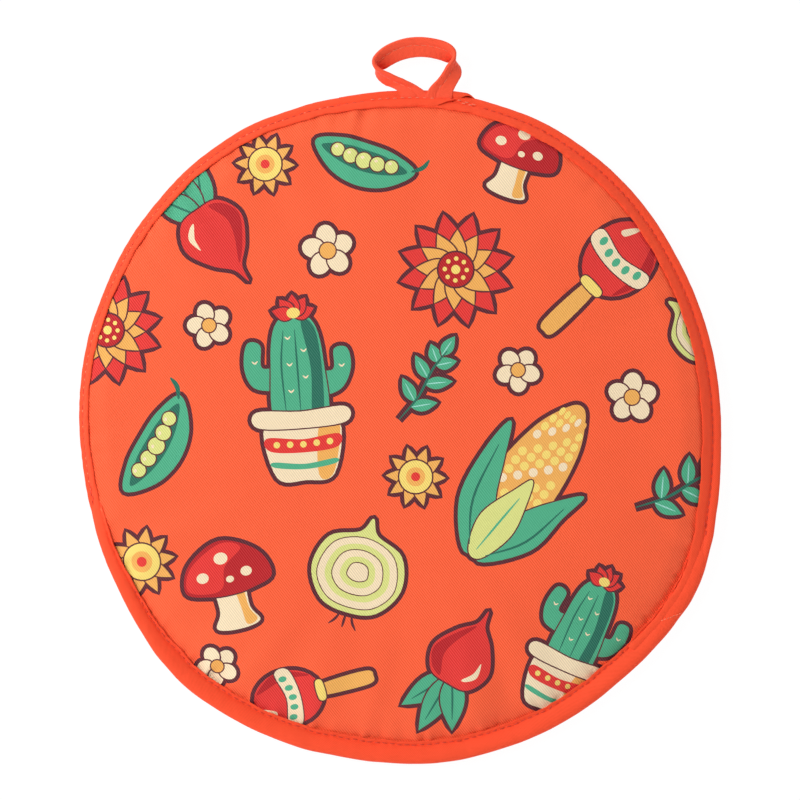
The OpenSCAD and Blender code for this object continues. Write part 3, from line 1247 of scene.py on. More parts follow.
    def rumple(self, x: Array, y: Array) -> Array:
        """Gathers that the stitching pulls into the cloth beside its binding, and the soft lie of the middle.

        Args:
            x: place across.
            y: place up.

        Returns:
            How far the cloth is moved up at each point.
        """
        s, a = self.outline.polar(x, y)
        edge_s, _ = self.edge_line(a)
        inward = np.maximum(s - edge_s, 0)
        turn = np.radians(a)
        amount = through(a, ((0, 0.45), (60, 0.4), (100, 0.6), (140, 1.0), (180, 0.5), (215, 0.9), (245, 1.2),
                             (285, 1.3), (320, 0.7), (345, 0.5)))
        fine = waves(turn, (53, 67, 81, 97), 5) * np.exp(-inward / 5.5) * 0.62
        broad = waves(turn, (15, 23, 31), 8) * inward / 9 * np.exp(-inward / 14) * 1.25
        tight = waves(turn, (113, 149, 181), 9) * np.exp(-inward / 3.2) * 0.7
        tight = tight * through(a, ((0, 0.3), (60, 0.25), (140, 0.45), (190, 0.25), (225, 1.0), (330, 1.0)))
        soft = 0.35 * waves(x / 22 + y / 60, (1.0, 1.7), 3) + 0.35 * waves(y / 26 - x / 70, (1.0, 1.6), 4)
        inside = eased(s, edge_s - 2, edge_s + 3)
        gathers = amount * (fine + broad) + tight + soft * eased(inward, 5, 40)
        return inside * gathers + self.pinches(s - edge_s, a)

    def pinches(self, inward: Array, a: Array) -> Array:
        """Single folds where the cloth was caught under the needle.

        Args:
            inward: how far in from the binding.
            a: degrees from +X.

        Returns:
            How far the cloth is moved up, mostly less than nothing.
        """
        out = np.zeros_like(inward)
        for at, depth, wide, reach in self.caught:
            off = ((a - at + 180) % 360 - 180) * math.pi / 180 * 140
            lean = off - 0.25 * inward
            groove = np.exp(-((lean / wide) ** 2)) - 0.55 * np.exp(-(((lean - 1.6 * wide) / wide) ** 2))
            out -= depth * groove * np.exp(-np.maximum(inward, 0) / reach) * eased(inward, -2.5, 2.5)
        return out


@dataclass(frozen=True)
class BackForm:
    """Heights of the back panel's two faces: flat on the table, crowned a little towards the pocket."""

    outline: Round
    levels: Levels
    mouth_hem: float = 9.2
    in_mouth_tape: float = 2.0
    in_rim_tape: float = 1.7

    def hem(self, angle: Array) -> Array:
        """Inset of the line where the back's cloths come out of their binding.

        Args:
            angle: degrees from +X.

        Returns:
            The insets.
        """
        open_share = self.outline.mouth_share(angle)
        rim_hem = RIM_EDGE.inset(angle) + RIM_EDGE.width(angle)
        return self.mouth_hem * open_share + rim_hem * (1 - open_share)

    def floor(self, x: Array, y: Array) -> Array:
        """Height of the lining that the bread lies on.

        Args:
            x: place across.
            y: place up.

        Returns:
            The heights.
        """
        s, a = self.outline.polar(x, y)
        share = np.clip(1 - s / self.outline.at(a), 0, 1)
        crown = (self.levels.floor - self.levels.middle + 0.8) * (1 - share**3)
        soft = 0.18 * waves(x / 24 + y / 50, (1.0, 1.7), 13) + 0.18 * waves(y / 28 - x / 60, (1.0, 1.6), 14)
        in_tape = 1 - eased(s, self.mouth_hem - 0.7, self.mouth_hem + 4)
        pressed = 1.0 + 0.55 * self.outline.mouth_share(a) * in_tape
        return self.levels.middle - pressed + crown * eased(s, 8, 30) + soft * eased(s, 12, 45)

    def belly(self, x: Array, y: Array) -> Array:
        """Height of the printed cloth over the table: it comes down to it from within its binding.

        Args:
            x: place across.
            y: place up.

        Returns:
            The heights.
        """
        s, a = self.outline.polar(x, y)
        open_share, inward = self.outline.mouth_share(a), s - self.hem(a)
        held = self.levels.middle - self.in_mouth_tape * open_share - self.in_rim_tape * (1 - open_share)
        gathers = waves(np.radians(a), (38, 53, 67), 21) * np.exp(-np.maximum(inward, 0) / 6) * 0.25
        lifted = held + gathers * eased(inward, -0.5, 2)
        return np.maximum(0.03, lifted * (1 - eased(inward, -0.3, 11)) + 0.03)


class HeightGrid:
    """A smooth height map: values on a square grid, read through a cubic B-spline."""

    def __init__(self, reach: float, step: float) -> None:
        """Lays out the grid.

        Args:
            reach: how far it runs from the origin each way.
            step: the distance between its points.
        """
        self.reach, self.step = reach, step
        self.axis = np.arange(-reach, reach + step / 2, step)
        self.x, self.y = np.meshgrid(self.axis, self.axis, indexing="ij")
        self.value = np.zeros_like(self.x)

    def fill(self, piece: bpy.types.Object, down: bool, missing: Heights) -> "HeightGrid":
        """Reads the heights of a piece's upper or lower face.

        Args:
            piece: the mesh to read.
            down: whether to look down on its upper face, or up at its lower face.
            missing: heights where the piece has no face.

        Returns:
            The grid.
        """
        tree = BVHTree.FromObject(piece, bpy.context.evaluated_depsgraph_get())
        self.value = missing(self.x, self.y).copy()
        start, way = (0.2, Vector((0, 0, -1))) if down else (-0.2, Vector((0, 0, 1)))
        for i, j in np.ndindex(self.value.shape):
            hit = tree.ray_cast(Vector((self.x[i, j] * MM, self.y[i, j] * MM, start)), way)[0]
            if hit is not None:
                self.value[i, j] = hit.z / MM
        return self

    def __call__(self, x: Array, y: Array) -> Array:
        """The smooth height at each point.

        Args:
            x: place across.
            y: place up.

        Returns:
            The heights.
        """
        u = np.clip((np.asarray(x) + self.reach) / self.step, 1, len(self.axis) - 3)
        v = np.clip((np.asarray(y) + self.reach) / self.step, 1, len(self.axis) - 3)
        i, j = np.floor(u).astype(int), np.floor(v).astype(int)
        wu, wv = self._weights(u - i), self._weights(v - j)
        out = np.zeros_like(u)
        for a in range(4):
            for b in range(4):
                out += wu[a] * wv[b] * self.value[i + a - 1, j + b - 1]
        return out

    @staticmethod
    def _weights(t: Array) -> list[Array]:
        """The four cubic B-spline weights at a share of a cell."""
        second, third = 3 * t**3 - 6 * t**2 + 4, -3 * t**3 + 3 * t**2 + 3 * t + 1
        return [(1 - t) ** 3 / 6, second / 6, third / 6, t**3 / 6]


def outermost(face: Heights, points: Array, side: int, reach: float = 1.4) -> Array:
    """The height that keeps padding inside a face near its steep edge.

    Args:
        face: heights of the cloth over or under the padding.
        points: the padding's points.
        side: -1 for a face above the padding, 1 for one below.
        reach: how far round each point it looks.

    Returns:
        The face's lowest (-1) or highest (1) height within reach of each point.
    """
    steps = ((0, 0), (reach, 0), (-reach, 0), (0, reach), (0, -reach), (1, 1), (-1, 1), (1, -1), (-1, -1))
    near = np.stack([face(points[:, 0] + dx, points[:, 1] + dy) * side for dx, dy in steps])
    return near.max(axis=0) * side


def keep_between(padding: bpy.types.Object, over: Heights, under: Heights) -> None:
    """Keeps padding between its two cloths, and midway where they meet.

    Args:
        padding: the padding.
        over: height of the cloth above it.
        under: height of the cloth below it.
    """
    points = places(padding)
    low, high = outermost(under, points, 1) + LEAST_GAP, outermost(over, points, -1) - LEAST_GAP
    midway = (over(points[:, 0], points[:, 1]) + under(points[:, 0], points[:, 1])) / 2
    points[:, 2] = np.where(low < high, np.clip(points[:, 2], low, high), midway)
    put(padding, points)


def round_points(outline: Round, inset: Callable[[Array], Array], spacing: float) -> tuple[Array, Array]:
    """Points spread over the round.

    Args:
        outline: the pouch's outline.
        inset: how far in the round's edge lies at each angle.
        spacing: the distance between points.

    Returns:
        The points of the edge in order, and those inside it.
    """
    count = int(outline.run(0, 360) / spacing)
    angles = outline.even_angles(0, 360, count + 1)[:-1]
    ring = outline.point(angles, inset(angles))
    rows = np.arange(-160, 160, spacing * math.sqrt(3) / 2)
    columns = np.arange(-160, 160, spacing)
    x, y = np.meshgrid(columns, rows)
    x = x + (np.arange(len(rows)) % 2)[:, None] * spacing / 2
    inner = np.stack([x.ravel(), y.ravel()], axis=1)
    s, a = outline.polar(inner[:, 0], inner[:, 1])
    return ring, inner[s > inset(a) + spacing * 0.7]


def topmost(points: Array, shapes: Sequence[Array]) -> Array:
    """Finds the last of the closed shapes that holds each point.

    Args:
        points: places on the cloth.
        shapes: closed shapes, the lowest first.

    Returns:
        The shape's number for each point, or -1 where none holds it.
    """
    top = np.full(len(points), -1)
    for number, shape in enumerate(shapes):
        near = np.nonzero(((points > shape.min(axis=0)) & (points < shape.max(axis=0))).all(axis=1))[0]
        x, y = points[near, 0][:, None], points[near, 1][:, None]
        ax, ay = shape.T
        bx, by = np.roll(shape, -1, axis=0).T
        side = (bx - ax) * (y - ay) - (x - ax) * (by - ay)
        rising, falling = (ay <= y) & (by > y) & (side > 0), (ay > y) & (by <= y) & (side < 0)
        turns = rising.sum(axis=1) - falling.sum(axis=1)
        top[near[turns != 0]] = number
    return top


def triangles_of(ring: Array, inner: Array, shapes: Sequence[Array] = ()) -> tuple[Array, Array, Array]:
    """Fills a closed ring with triangles that keep to the edges of shapes drawn on it.

    Args:
        ring: the edge's points in order.
        inner: more points inside.
        shapes: closed shapes, the lowest first.

    Returns:
        The points, the triangles inside the ring, and for each the topmost shape that holds it, or -1.
    """
    points, edges, start = [], [], 0
    for polygon in (ring, *shapes):
        number = np.arange(len(polygon))
        points.append(polygon)
        edges.append(np.stack([number, np.roll(number, -1)], axis=1) + start)
        start += len(polygon)
    points.append(inner)
    flat = [Vector(p) for p in np.vstack(points)]
    verts, _, tris, _, _, _ = delaunay_2d_cdt(flat, np.vstack(edges).tolist(), [], 0, 1e-3, False)
    at, tris = np.array([(v.x, v.y) for v in verts]), np.array([t for t in tris if len(t) == 3])
    a, b, c = at[tris[:, 0]], at[tris[:, 1]], at[tris[:, 2]]
    turn = (b[:, 0] - a[:, 0]) * (c[:, 1] - a[:, 1]) - (b[:, 1] - a[:, 1]) * (c[:, 0] - a[:, 0])
    tris[turn < 0] = tris[turn < 0][:, ::-1]
    middle = (a + b + c) / 3
    kept = (topmost(middle, [ring]) == 0) & (np.abs(turn) > 1e-7)
    return at, tris[kept], topmost(middle[kept], shapes)


@dataclass
class Panel:
    """One padded panel: its printed cloth, its wadding and its lining."""

    side: str
    outline: Round
    outer: Heights
    inner: Heights
    layout: Sequence[Placing]
    mirrored: bool
    cloth_inset: float = 3.0
    wadding_step: float = 4.2
    lining_step: float = 3.2
    print_step: float = 2.4
    line_w: float = 1.9
    swell_cap: float = 1.8
    held_band: float = 3.5
    frames: int = 20
    bound_at: Callable[[Array], Array] = even(10.5)

    def wadding(self, finishes: Finishes) -> bpy.types.Object:
        """Makes the padding as a closed form that cloth simulation swells between its bound edges.

        Args:
            finishes: the pouch's materials.

        Returns:
            The padding.
        """
        ring, inside = round_points(self.outline, lambda a: self.bound_at(a) + 0.6, self.wadding_step)
        flat, tris, _ = triangles_of(ring, inside)
        used = np.unique(tris)
        number = -np.ones(len(flat), int)
        number[used] = np.arange(len(used))
        flat, tris = flat[used], number[tris]
        x, y = flat.T
        outer, inner = self.outer(x, y), self.inner(x, y)
        way = np.sign(np.mean(outer - inner))
        top = np.column_stack([flat, outer - way * PAD_GAP])
        low = np.column_stack([flat, inner + way * PAD_GAP])
        upper, lower = (top, low) if way > 0 else (low, top)
        n = len(flat)
        edge = self._rim_order(tris)
        faces = [tuple(t) for t in tris] + [tuple(n + t[::-1]) for t in tris]
        faces += [(a, a + n, b + n, b) for a, b in zip(edge, np.roll(edge, -1))]
        piece = piece_from(f"{self.side}_padding", np.vstack([upper, lower]), faces)
        piece.data.materials.append(finishes.wadding)
        self._swell(piece, np.vstack([upper, lower]))
        apply(piece, "SUBSURF", levels=1, render_levels=1)
        return smooth_shaded(piece)

    @staticmethod
    def _rim_order(tris: Array) -> Array:
        """The points of a triangle mesh's edge, in anticlockwise order.

        Args:
            tris: the triangles, as point numbers.

        Returns:
            The edge's point numbers.
        """
        edges = {(int(t[i]), int(t[(i + 1) % 3])) for t in tris for i in range(3)}
        ahead = {a: b for a, b in edges if (b, a) not in edges}
        order = [next(iter(sorted(ahead)))]
        while ahead[order[-1]] != order[0]:
            order.append(ahead[order[-1]])
        return np.array(order)

    def _swell(self, piece: bpy.types.Object, start: Array) -> None:
        """Runs the cloth simulation on the padding and caps how far it moves.

        Args:
            piece: the padding.
            start: its points before it swells.
        """
        s, a = self.outline.polar(start[:, 0], start[:, 1])
        held = piece.vertex_groups.new(name="held")
        held.add([int(i) for i in np.nonzero(s < self.bound_at(a) + self.held_band)[0]], 1.0, "REPLACE")
        take(piece)
        cloth = piece.modifiers.new("Cloth", "CLOTH")
        settings = cloth.settings
        settings.quality = 5
        settings.mass = 0.3
        settings.tension_stiffness = settings.compression_stiffness = 12
        settings.shear_stiffness = 5
        settings.bending_stiffness = 0.4
        settings.use_pressure = True
        settings.uniform_pressure_force = 4
        settings.shrink_min = -0.035
        settings.vertex_group_mass = "held"
        settings.effector_weights.gravity = 0
        cloth.collision_settings.use_collision = False
        cloth.point_cache.frame_start = 1
        cloth.point_cache.frame_end = self.frames
        for step in range(1, self.frames + 1):
            bpy.context.scene.frame_set(step)
        bpy.ops.object.modifier_apply(modifier=cloth.name)
        bpy.context.scene.frame_set(1)
        moved = places(piece) - start
        size = np.linalg.norm(moved, axis=1)
        room = self.swell_cap * (1 - np.exp(-size / self.swell_cap)) / np.maximum(size, 1e-9)
        put(piece, start + moved * room[:, None])

    def edge_rows(self, spacing: float) -> list[Array]:
        """Rows of points along the line where the cloth leaves its binding, to bend it sharply there.

        Args:
            spacing: distance between points, in degrees.

        Returns:
            The rows of points.
        """
        angles = np.arange(0, 360, spacing)
        return [self.outline.point(angles + spacing / 2 * k, self.bound_at(angles + spacing / 2 * k) + d)
                for k, d in enumerate((-0.9, 0.0, 0.5, 1.4, 2.6))]

    def cloth(self, over: Heights, finishes: Finishes) -> bpy.types.Object:
        """Makes the printed cloth over the padding.

        Args:
            over: its height at each point.
            finishes: the pouch's materials.

        Returns:
            The sheet, with each ink in its colour attribute.
        """
        shapes, inks = [], []
        for p in self.layout:
            for shape, ink in p.make().layers(p.x, p.y, p.turn, p.scale, self.line_w):
                shapes.append(shape * (-1, 1) if self.mirrored else shape)
                inks.append(ink)
        ring, inside = round_points(self.outline, even(self.cloth_inset), self.print_step)
        flat, tris, tops = triangles_of(ring, np.vstack([inside, *self.edge_rows(0.6)]), shapes)
        points = np.column_stack([flat, over(flat[:, 0], flat[:, 1])])
        piece = piece_from(f"{self.side}_printed_cloth", points, tris[:, ::-1] if self.mirrored else tris)
        colours = np.array([(*linear(ink.value), 1.0) for ink in [*inks, Ink.GROUND]])
        corner = np.repeat(colours[tops], 3, axis=0)
        layer = piece.data.color_attributes.new("print", "FLOAT_COLOR", "CORNER")
        layer.data.foreach_set("color", corner.astype(np.float32).ravel())
        piece.data.materials.append(finishes.print_cloth)
        edit(piece, bpy.ops.mesh.delete_loose)
        return smooth_shaded(piece)

    def lining(self, under: Heights, finishes: Finishes) -> bpy.types.Object:
        """Makes the plain cloth on the pocket's side.

        Args:
            under: its height at each point.
            finishes: the pouch's materials.

        Returns:
            The sheet.
        """
        ring, inside = round_points(self.outline, even(self.cloth_inset), self.lining_step)
        flat, tris, _ = triangles_of(ring, np.vstack([inside, *self.edge_rows(0.9)]))
        points = np.column_stack([flat, under(flat[:, 0], flat[:, 1])])
        piece = piece_from(f"{self.side}_lining_cloth", points, tris if self.mirrored else tris[:, ::-1])
        piece.data.materials.append(finishes.lining)
        edit(piece, bpy.ops.mesh.delete_loose)
        return smooth_shaded(piece)


# ---------------------------------------------------------------- bindings


@dataclass
class FoldedTape:
    """Bias tape folded over an edge of the pouch, with both hems turned under."""

    name: str
    outline: Round
    start: float
    end: float
    profile: tuple
    stitch_d: float
    middle: Callable[[Array], Array]
    width: Callable[[Array], Array]
    inset: Callable[[Array], Array]
    lean: Callable[[Array], Array]
    deep: Callable[[Array], Array] = even(1.0)
    shift: Callable[[Array, Array], Array] = lambda a, d: np.zeros_like(a)
    lean_low: bool = True
    slant: float = 0.0
    pitch: float = 3.6
    seed: int = 1
    step: float = 1.1
    across: int = 44
    cloth_t: float = 0.35
    ripple: float = 1.0
    stitch_dip: float = 0.42
    stitch_beat: float = 0.20
    groove: Callable[[Array], Array] = even(1.0)
    bead: Callable[[Array], Array] = even(0.0)

    def __post_init__(self) -> None:
        """Works out the section's smooth curve from its points."""
        line = smooth_line(self.profile, 10)
        along = run_along(line)
        self._q, self._line = along / along[-1], line
        self._w0 = max(p[0] for p in self.profile)
        self._length = self.outline.run(self.start, self.end)
        self._angles = self.outline.even_angles(self.start, self.end, 1500)
        self._round_at = np.linspace(-90, 450, 5401)
        self._round_run = run_along(self.outline.point(self._round_at, 0.0))

    def angle_at(self, u: Array) -> Array:
        """Angle at a share of the tape's run."""
        return np.interp(u, np.linspace(0, 1, len(self._angles)), self._angles)

    def share_at(self, angle: float) -> float:
        """Share of the tape's run at an angle."""
        return float(np.interp(angle, self._angles, np.linspace(0, 1, len(self._angles))))

    def place(self, u: Array, v: Array) -> Array:
        """Points of the tape's outer face.

        Args:
            u: share along the tape, 0 to 1.
            v: across it, from -1 at the lower hem through 0 at the fold to 1 at the upper hem.

        Returns:
            The points in millimetres.
        """
        q, side = np.abs(v), np.where(v < 0, -1.0, 1.0)
        d = np.interp(q, self._q, self._line[:, 0])
        h = np.interp(q, self._q, self._line[:, 1])
        a = self.angle_at(u) + self.slant * (1 - np.asarray(u)) ** 2 * d / self._w0
        run = self.along(a)
        rate = 2 * math.pi * run
        lip = eased(d, self._w0 * 0.55, self._w0)
        bead = 1 - eased(d, 1.5, self.stitch_d)
        on_face = q < 0.82
        near = np.exp(-(((d - self.stitch_d) / 0.85) ** 2)) * on_face * self.groove(a)
        wide = np.exp(-(((d - self.stitch_d) / 1.5) ** 2)) * on_face * (1 - self.groove(a))
        d = (d + self.bead(a) * np.sin(np.pi * np.clip(d / self._w0, 0, 1))) * self.width(a) / self._w0
        # lengths of the waves in millimetres: along the whole edge, along the hem, and its small puckers
        slow = waves(rate, (1 / 83, 1 / 51, 1 / 34), self.seed + 2)
        wave = waves(rate, (1 / 37, 1 / 23, 1 / 14), self.seed)
        quick = waves(rate, (1 / 8.3, 1 / 6.1, 1 / 4.7), self.seed + 1)
        drag = np.sin(rate / 7.5 + d * 1.1 + 2 * wave)
        d = d + self.ripple * lip * (0.27 * wave + 0.10 * quick)
        h = h * (1 + self.ripple * bead * (0.06 * wave + 0.02 * quick))
        h = h + self.ripple * lip * (0.14 * quick + 0.12 * drag) * (q < 0.9)
        dip = self.stitch_dip + self.stitch_beat * np.cos(rate / self.pitch)
        h = h - near * dip + self.ripple * 0.06 * drag * bead + self.stitch_dip * wide
        h = h * self.deep(a) * side
        lean = self.lean(a) * (side > 0 if not self.lean_low else 1)
        strays = self.ripple * (0.16 * slow + 0.05 * wave * bead)
        s = self.inset(a) + d * np.cos(lean) - h * np.sin(lean) + strays
        z = self.middle(a) + d * np.sin(lean) + h * np.cos(lean)
        z = z + self.shift(a, d) * (side > 0 if not self.lean_low else 1)
        return np.column_stack([self.outline.point(a, s), z])

    def along(self, angle: Array) -> Array:
        """Length of the outline from a fixed start to an angle, the same for every tape."""
        return np.interp(np.asarray(angle, float), self._round_at, self._round_run)

    def make(self, material: bpy.types.Material) -> bpy.types.Object:
        """Folds a flat grid into the tape, gives it its cloth's thickness and dresses it.

        Args:
            material: the tape's cloth.

        Returns:
            The tape.
        """
        piece, along, across = flat_grid(self.name, int(self._length / self.step), self.across)
        v = across * 2
        put(piece, self.place(along + 0.5, np.sign(v) * np.abs(v) ** 0.9))
        size_uv(piece, self._length, 4 * self._w0)
        edit(piece, face_outwards)
        apply(piece, "SOLIDIFY", thickness=self.cloth_t * MM, offset=-1.0, use_rim=True)
        piece.data.materials.append(material)
        return smooth_shaded(piece, 50)

    def frames(self, angles: Array, d: Array, lower: bool = False) -> tuple[Array, Array]:
        """Where things lie on the tape: their places, and axes along, across and out of its face.

        Args:
            angles: where along the tape.
            d: how far from its fold.
            lower: whether they lie on its lower half.

        Returns:
            The places, and for each a 3 by 3 array whose rows are the axes.
        """
        u = np.array([self.share_at(a) for a in np.atleast_1d(angles)])
        face = slice(self._line[:, 0].argmax() + 1)
        share = np.interp(np.broadcast_to(d, u.shape), self._line[face, 0], self._q[face])
        v = -share if lower else share
        here = self.place(u, v)
        along = unit(self.place(u + 5e-4, v) - self.place(u - 5e-4, v))
        out = unit(np.cross(along, self.place(u, v * 1.02) - self.place(u, v * 0.98)))
        out *= np.where((out[:, 2] < 0) ^ lower, -1, 1)[:, None]
        return here, np.stack([along, np.cross(out, along), out], axis=1)

    def stitch_angles(self, start: float, end: float) -> Array:
        """Angles of the stitches between two angles, one pitch apart.

        Args:
            start: the first angle.
            end: the last angle.

        Returns:
            The angles.
        """
        low, high = self.along(start), self.along(end)
        first = math.ceil(low / self.pitch)
        runs = np.arange(first, int(high / self.pitch)) * self.pitch + self.pitch / 2
        return np.interp(runs, self._round_run, self._round_at)


@dataclass(frozen=True)
class StitchRow:
    """A row of equal stitches, each a short bowed length of thread that dives into the cloth at both ends."""

    length: float = 2.5
    thick: float = 0.5
    dive: float = 0.4

    def model(self) -> tuple[Array, list[tuple[int, ...]]]:
        """Models one stitch along X: its points in millimetres and its faces.

        Returns:
            The points, and the faces as point numbers.
        """
        deselect_all()
        bpy.ops.mesh.primitive_cylinder_add(vertices=6, radius=self.thick / 2 * MM, depth=self.length * MM,
                                            rotation=(0, math.pi / 2, 0))
        piece = bpy.context.object
        bpy.ops.object.transform_apply(rotation=True)
        bpy.ops.object.mode_set(mode="EDIT")
        mesh = bmesh.from_edit_mesh(piece.data)
        long_edges = [e for e in mesh.edges if abs(e.verts[0].co.x - e.verts[1].co.x) > 1e-4]
        bmesh.ops.subdivide_edges(mesh, edges=long_edges, cuts=5, use_grid_fill=True)
        bmesh.update_edit_mesh(piece.data)
        bpy.ops.object.mode_set(mode="OBJECT")
        p = places(piece)
        t = p[:, 0] / (self.length / 2)
        p[:, 1:] *= np.where(np.abs(t) > 0.99, 0.45, 1 - 0.12 * t**2)[:, None]
        p[:, 2] += 0.12 - self.dive * t**4
        faces = [tuple(f.vertices) for f in piece.data.polygons]
        bpy.data.objects.remove(piece)
        return p, faces

    def sew(self, name: str, at: Array, axes: Array, material: bpy.types.Material) -> bpy.types.Object:
        """Sews copies of the stitch at places.

        Args:
            name: the piece's name.
            at: the stitches' middles.
            axes: for each, rows along, across and out of the cloth.
            material: the thread.

        Returns:
            The row as one piece of separate stitches.
        """
        points, faces = self.model()
        wander = np.random.default_rng(len(at)).uniform(-1, 1, (len(at), 3))
        all_points, all_faces = [], []
        for k, (place, frame_axes) in enumerate(zip(at, axes)):
            p = points.copy()
            p[:, 0] *= 1 + 0.06 * wander[k, 0]
            p[:, 1] += p[:, 0] * 0.05 * wander[k, 1] + 0.12 * wander[k, 2]
            all_points.append(place + p @ frame_axes)
            all_faces += [tuple(i + k * len(points) for i in f) for f in faces]
        piece = piece_from(name, np.vstack(all_points), all_faces)
        piece.data.materials.append(material)
        return smooth_shaded(piece)


# ---------------------------------------------------------------- the hanging loop


@dataclass
class HangingLoop:
    """A folded tape that leaves the mouth's binding, stands on its edge round the top and lies down again."""

    thick: float = 1.15
    bead: float = 1.75
    cells: int = 170
    round_it: float = 20.0
    # at stations along it: the place of its stitched edge, then of its folded edge
    route: tuple = (
        (7.6, 146.8, 7.9, -5, 146, 7.9), (7.1, 148.8, 8.6, -5.8, 148, 8.6),
        (5.6, 151.7, 8.7, -6.6, 150.2, 8.7), (1.6, 154.4, 8.9, -8.3, 152.6, 7),
        (-3, 156.3, 9.8, -10.8, 153.9, 4.9), (-7.3, 157.9, 10.4, -13.6, 155.1, 3.3),
        (-11.5, 159.5, 10.9, -16.2, 157.1, 2.4), (-15.4, 160.9, 11.1, -17.6, 159.3, 2),
        (-18.2, 162.6, 11.1, -17.7, 161.3, 2), (-19.4, 165.1, 10.9, -16.6, 162.5, 2.3),
        (-18.7, 167.6, 10.6, -14.3, 162.3, 2.9), (-16.5, 170.2, 10.3, -12.1, 163.4, 3.8),
        (-13.4, 172.6, 10.1, -9.7, 164.8, 4.9), (-9, 174.8, 9.9, -6.4, 166.3, 5.9),
        (-4.1, 176.3, 9.8, -2.3, 167.5, 6.5), (1.3, 176.9, 9.8, 2.2, 168.1, 6.7),
        (6.8, 176.6, 9.9, 6.7, 167.9, 6.4), (11.8, 175.6, 10.1, 10.8, 167.2, 5.6),
        (15.1, 174.1, 10.4, 13.6, 166.5, 4.4), (17, 171.9, 10.7, 15.6, 166.5, 3.2),
        (17.3, 169.4, 10.8, 17.4, 166.3, 2.4), (16.1, 166.8, 10.6, 19.3, 165.4, 2.6),
        (14.1, 164.3, 10.2, 20.6, 163.4, 3.6), (12.2, 161, 9.8, 20.9, 160.9, 4.9),
        (10.1, 158, 9.6, 19.8, 158.2, 6.2), (7.1, 154.7, 9.5, 18.4, 155.4, 7.5),
        (5.4, 151.6, 9.4, 17.4, 152.6, 8.8), (4.6, 148.7, 9.2, 17, 149.4, 9.2),
        (4.5, 146.6, 8.2, 16.9, 146.9, 8.2),
    )
    # (share of the width from the folded edge, half thickness share) round one face
    section: tuple = (
        (0.0, 0.0), (0.015, 0.62), (0.06, 0.95), (0.3, 1.0), (0.52, 0.9), (0.6, 0.62), (0.66, 1.05),
        (0.78, 1.42), (0.92, 1.38), (0.98, 0.95), (1.0, 0.0),
    )

    def __post_init__(self) -> None:
        """Works out the smooth route and section."""
        self._route = smooth_line(self.route, 16)
        self._along = run_along((self._route[:, :3] + self._route[:, 3:]) / 2)
        face = smooth_line(self.section, 4)
        self._ring = np.vstack([face, (face * (1, -1))[-2:0:-1]])

    def place(self, u: Array, share: Array, out: Array) -> Array:
        """Points on or in the tape.

        Args:
            u: share along its route.
            share: share across it, from its folded edge to its stitched edge.
            out: distance out of its inner face.

        Returns:
            The points in millimetres.
        """
        run = np.asarray(u) * self._along[-1]
        near, ahead, behind = (
            np.stack([np.interp(run + d, self._along, self._route[:, k]) for k in range(6)], axis=1)
            for d in (0.0, 0.9, -0.9)
        )
        share = np.asarray(share, float)[:, None]
        here = near[:, 3:] * (1 - share) + near[:, :3] * share
        way = (ahead - behind)[:, :3] * share + (ahead - behind)[:, 3:] * (1 - share)
        face = unit(np.cross(way, near[:, :3] - near[:, 3:]))
        return here + face * np.asarray(out)[:, None]

    def make(self, material: bpy.types.Material) -> bpy.types.Object:
        """Rolls a grid into the tape's section and draws it along its route.

        Args:
            material: the tape's cloth.

        Returns:
            The tape.
        """
        ring = self._ring
        piece, along, across = flat_grid("hanging_loop_tape", self.cells, len(ring))
        u = along + 0.5
        number = np.rint((across + 0.5) * len(ring)).astype(int) % len(ring)
        turn = u * 2 * math.pi
        wobble = 1 + 0.05 * waves(turn, (9, 14, 21), 17)
        crease = 0.10 * waves(turn + 3 * ring[number, 0], (17, 26, 35), 19) * (ring[number, 0] < 0.97)
        press = 1 - 0.45 * (1 - eased(u, 0.0, 0.10)) - 0.45 * eased(u, 0.90, 1.0)
        half = ring[number, 1] * self.thick / 2 * press * wobble
        put(piece, self.place(u, ring[number, 0], half + crease))
        size_uv(piece, self._along[-1], self.round_it)
        edit(piece, lambda: bpy.ops.mesh.remove_doubles(threshold=WELD))
        edit(piece, self._close_ends)
        edit(piece, face_outwards)
        piece.data.materials.append(material)
        return smooth_shaded(piece, 60)

    @staticmethod
    def _close_ends() -> None:
        """Fills the two open ends of the tape, in edit mode."""
        bpy.ops.mesh.select_all(action="DESELECT")
        bpy.ops.mesh.select_non_manifold()
        bpy.ops.mesh.fill()

    def stitch_frames(self, pitch: float, share: float) -> tuple[Array, Array]:
        """Places and axes of the stitches along both faces of the loop.

        Args:
            pitch: distance from one stitch to the next.
            share: where they lie across the tape, from its folded edge.

        Returns:
            Their places, and for each the axes along, across and out of the tape.
        """
        count = int(self._along[-1] * 0.84 / pitch)
        u = 0.5 + (np.arange(count) - (count - 1) / 2) * pitch / self._along[-1]
        across = np.full(count, share)
        all_at, all_axes = [], []
        for side, high in ((1, 0.31), (-1, 0.24)):
            out = np.full(count, side * self.thick * high)
            at = self.place(u, across, out)
            way = unit(self.place(u + 2e-3, across, out) - self.place(u - 2e-3, across, out))
            face = self.place(u, across, out + side) - at
            all_at.append(at)
            all_axes.append(np.stack([way, np.cross(face, way), face], axis=1))
        return np.vstack(all_at), np.vstack(all_axes)


# ---------------------------------------------------------------- the whole pouch


def dress(piece: bpy.types.Object, slot: str, *nodes: str, body: Optional[str] = None,
          **padding: float) -> None:
    """Hides the CAD nodes that a finished piece stands for, hangs it on the body that it moves with, and logs
    it.

    Args:
        piece: the finished piece.
        slot: its material's slot in the record; not used.
        *nodes: the CAD nodes that it replaces, if any.
        body: the body that it rides on, or None to leave it on no body.
        **padding: its fill, where it is padded; not used.
    """
    if nodes:
        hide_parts(*nodes)
    if body:
        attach(piece, body)
    LOG.info("%s: %d faces", piece.name, len(piece.data.polygons))


def bend_at_fold(piece: bpy.types.Object) -> None:
    """Bakes a front-panel piece's placing into its mesh, leaving it on no body."""
    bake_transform(piece)


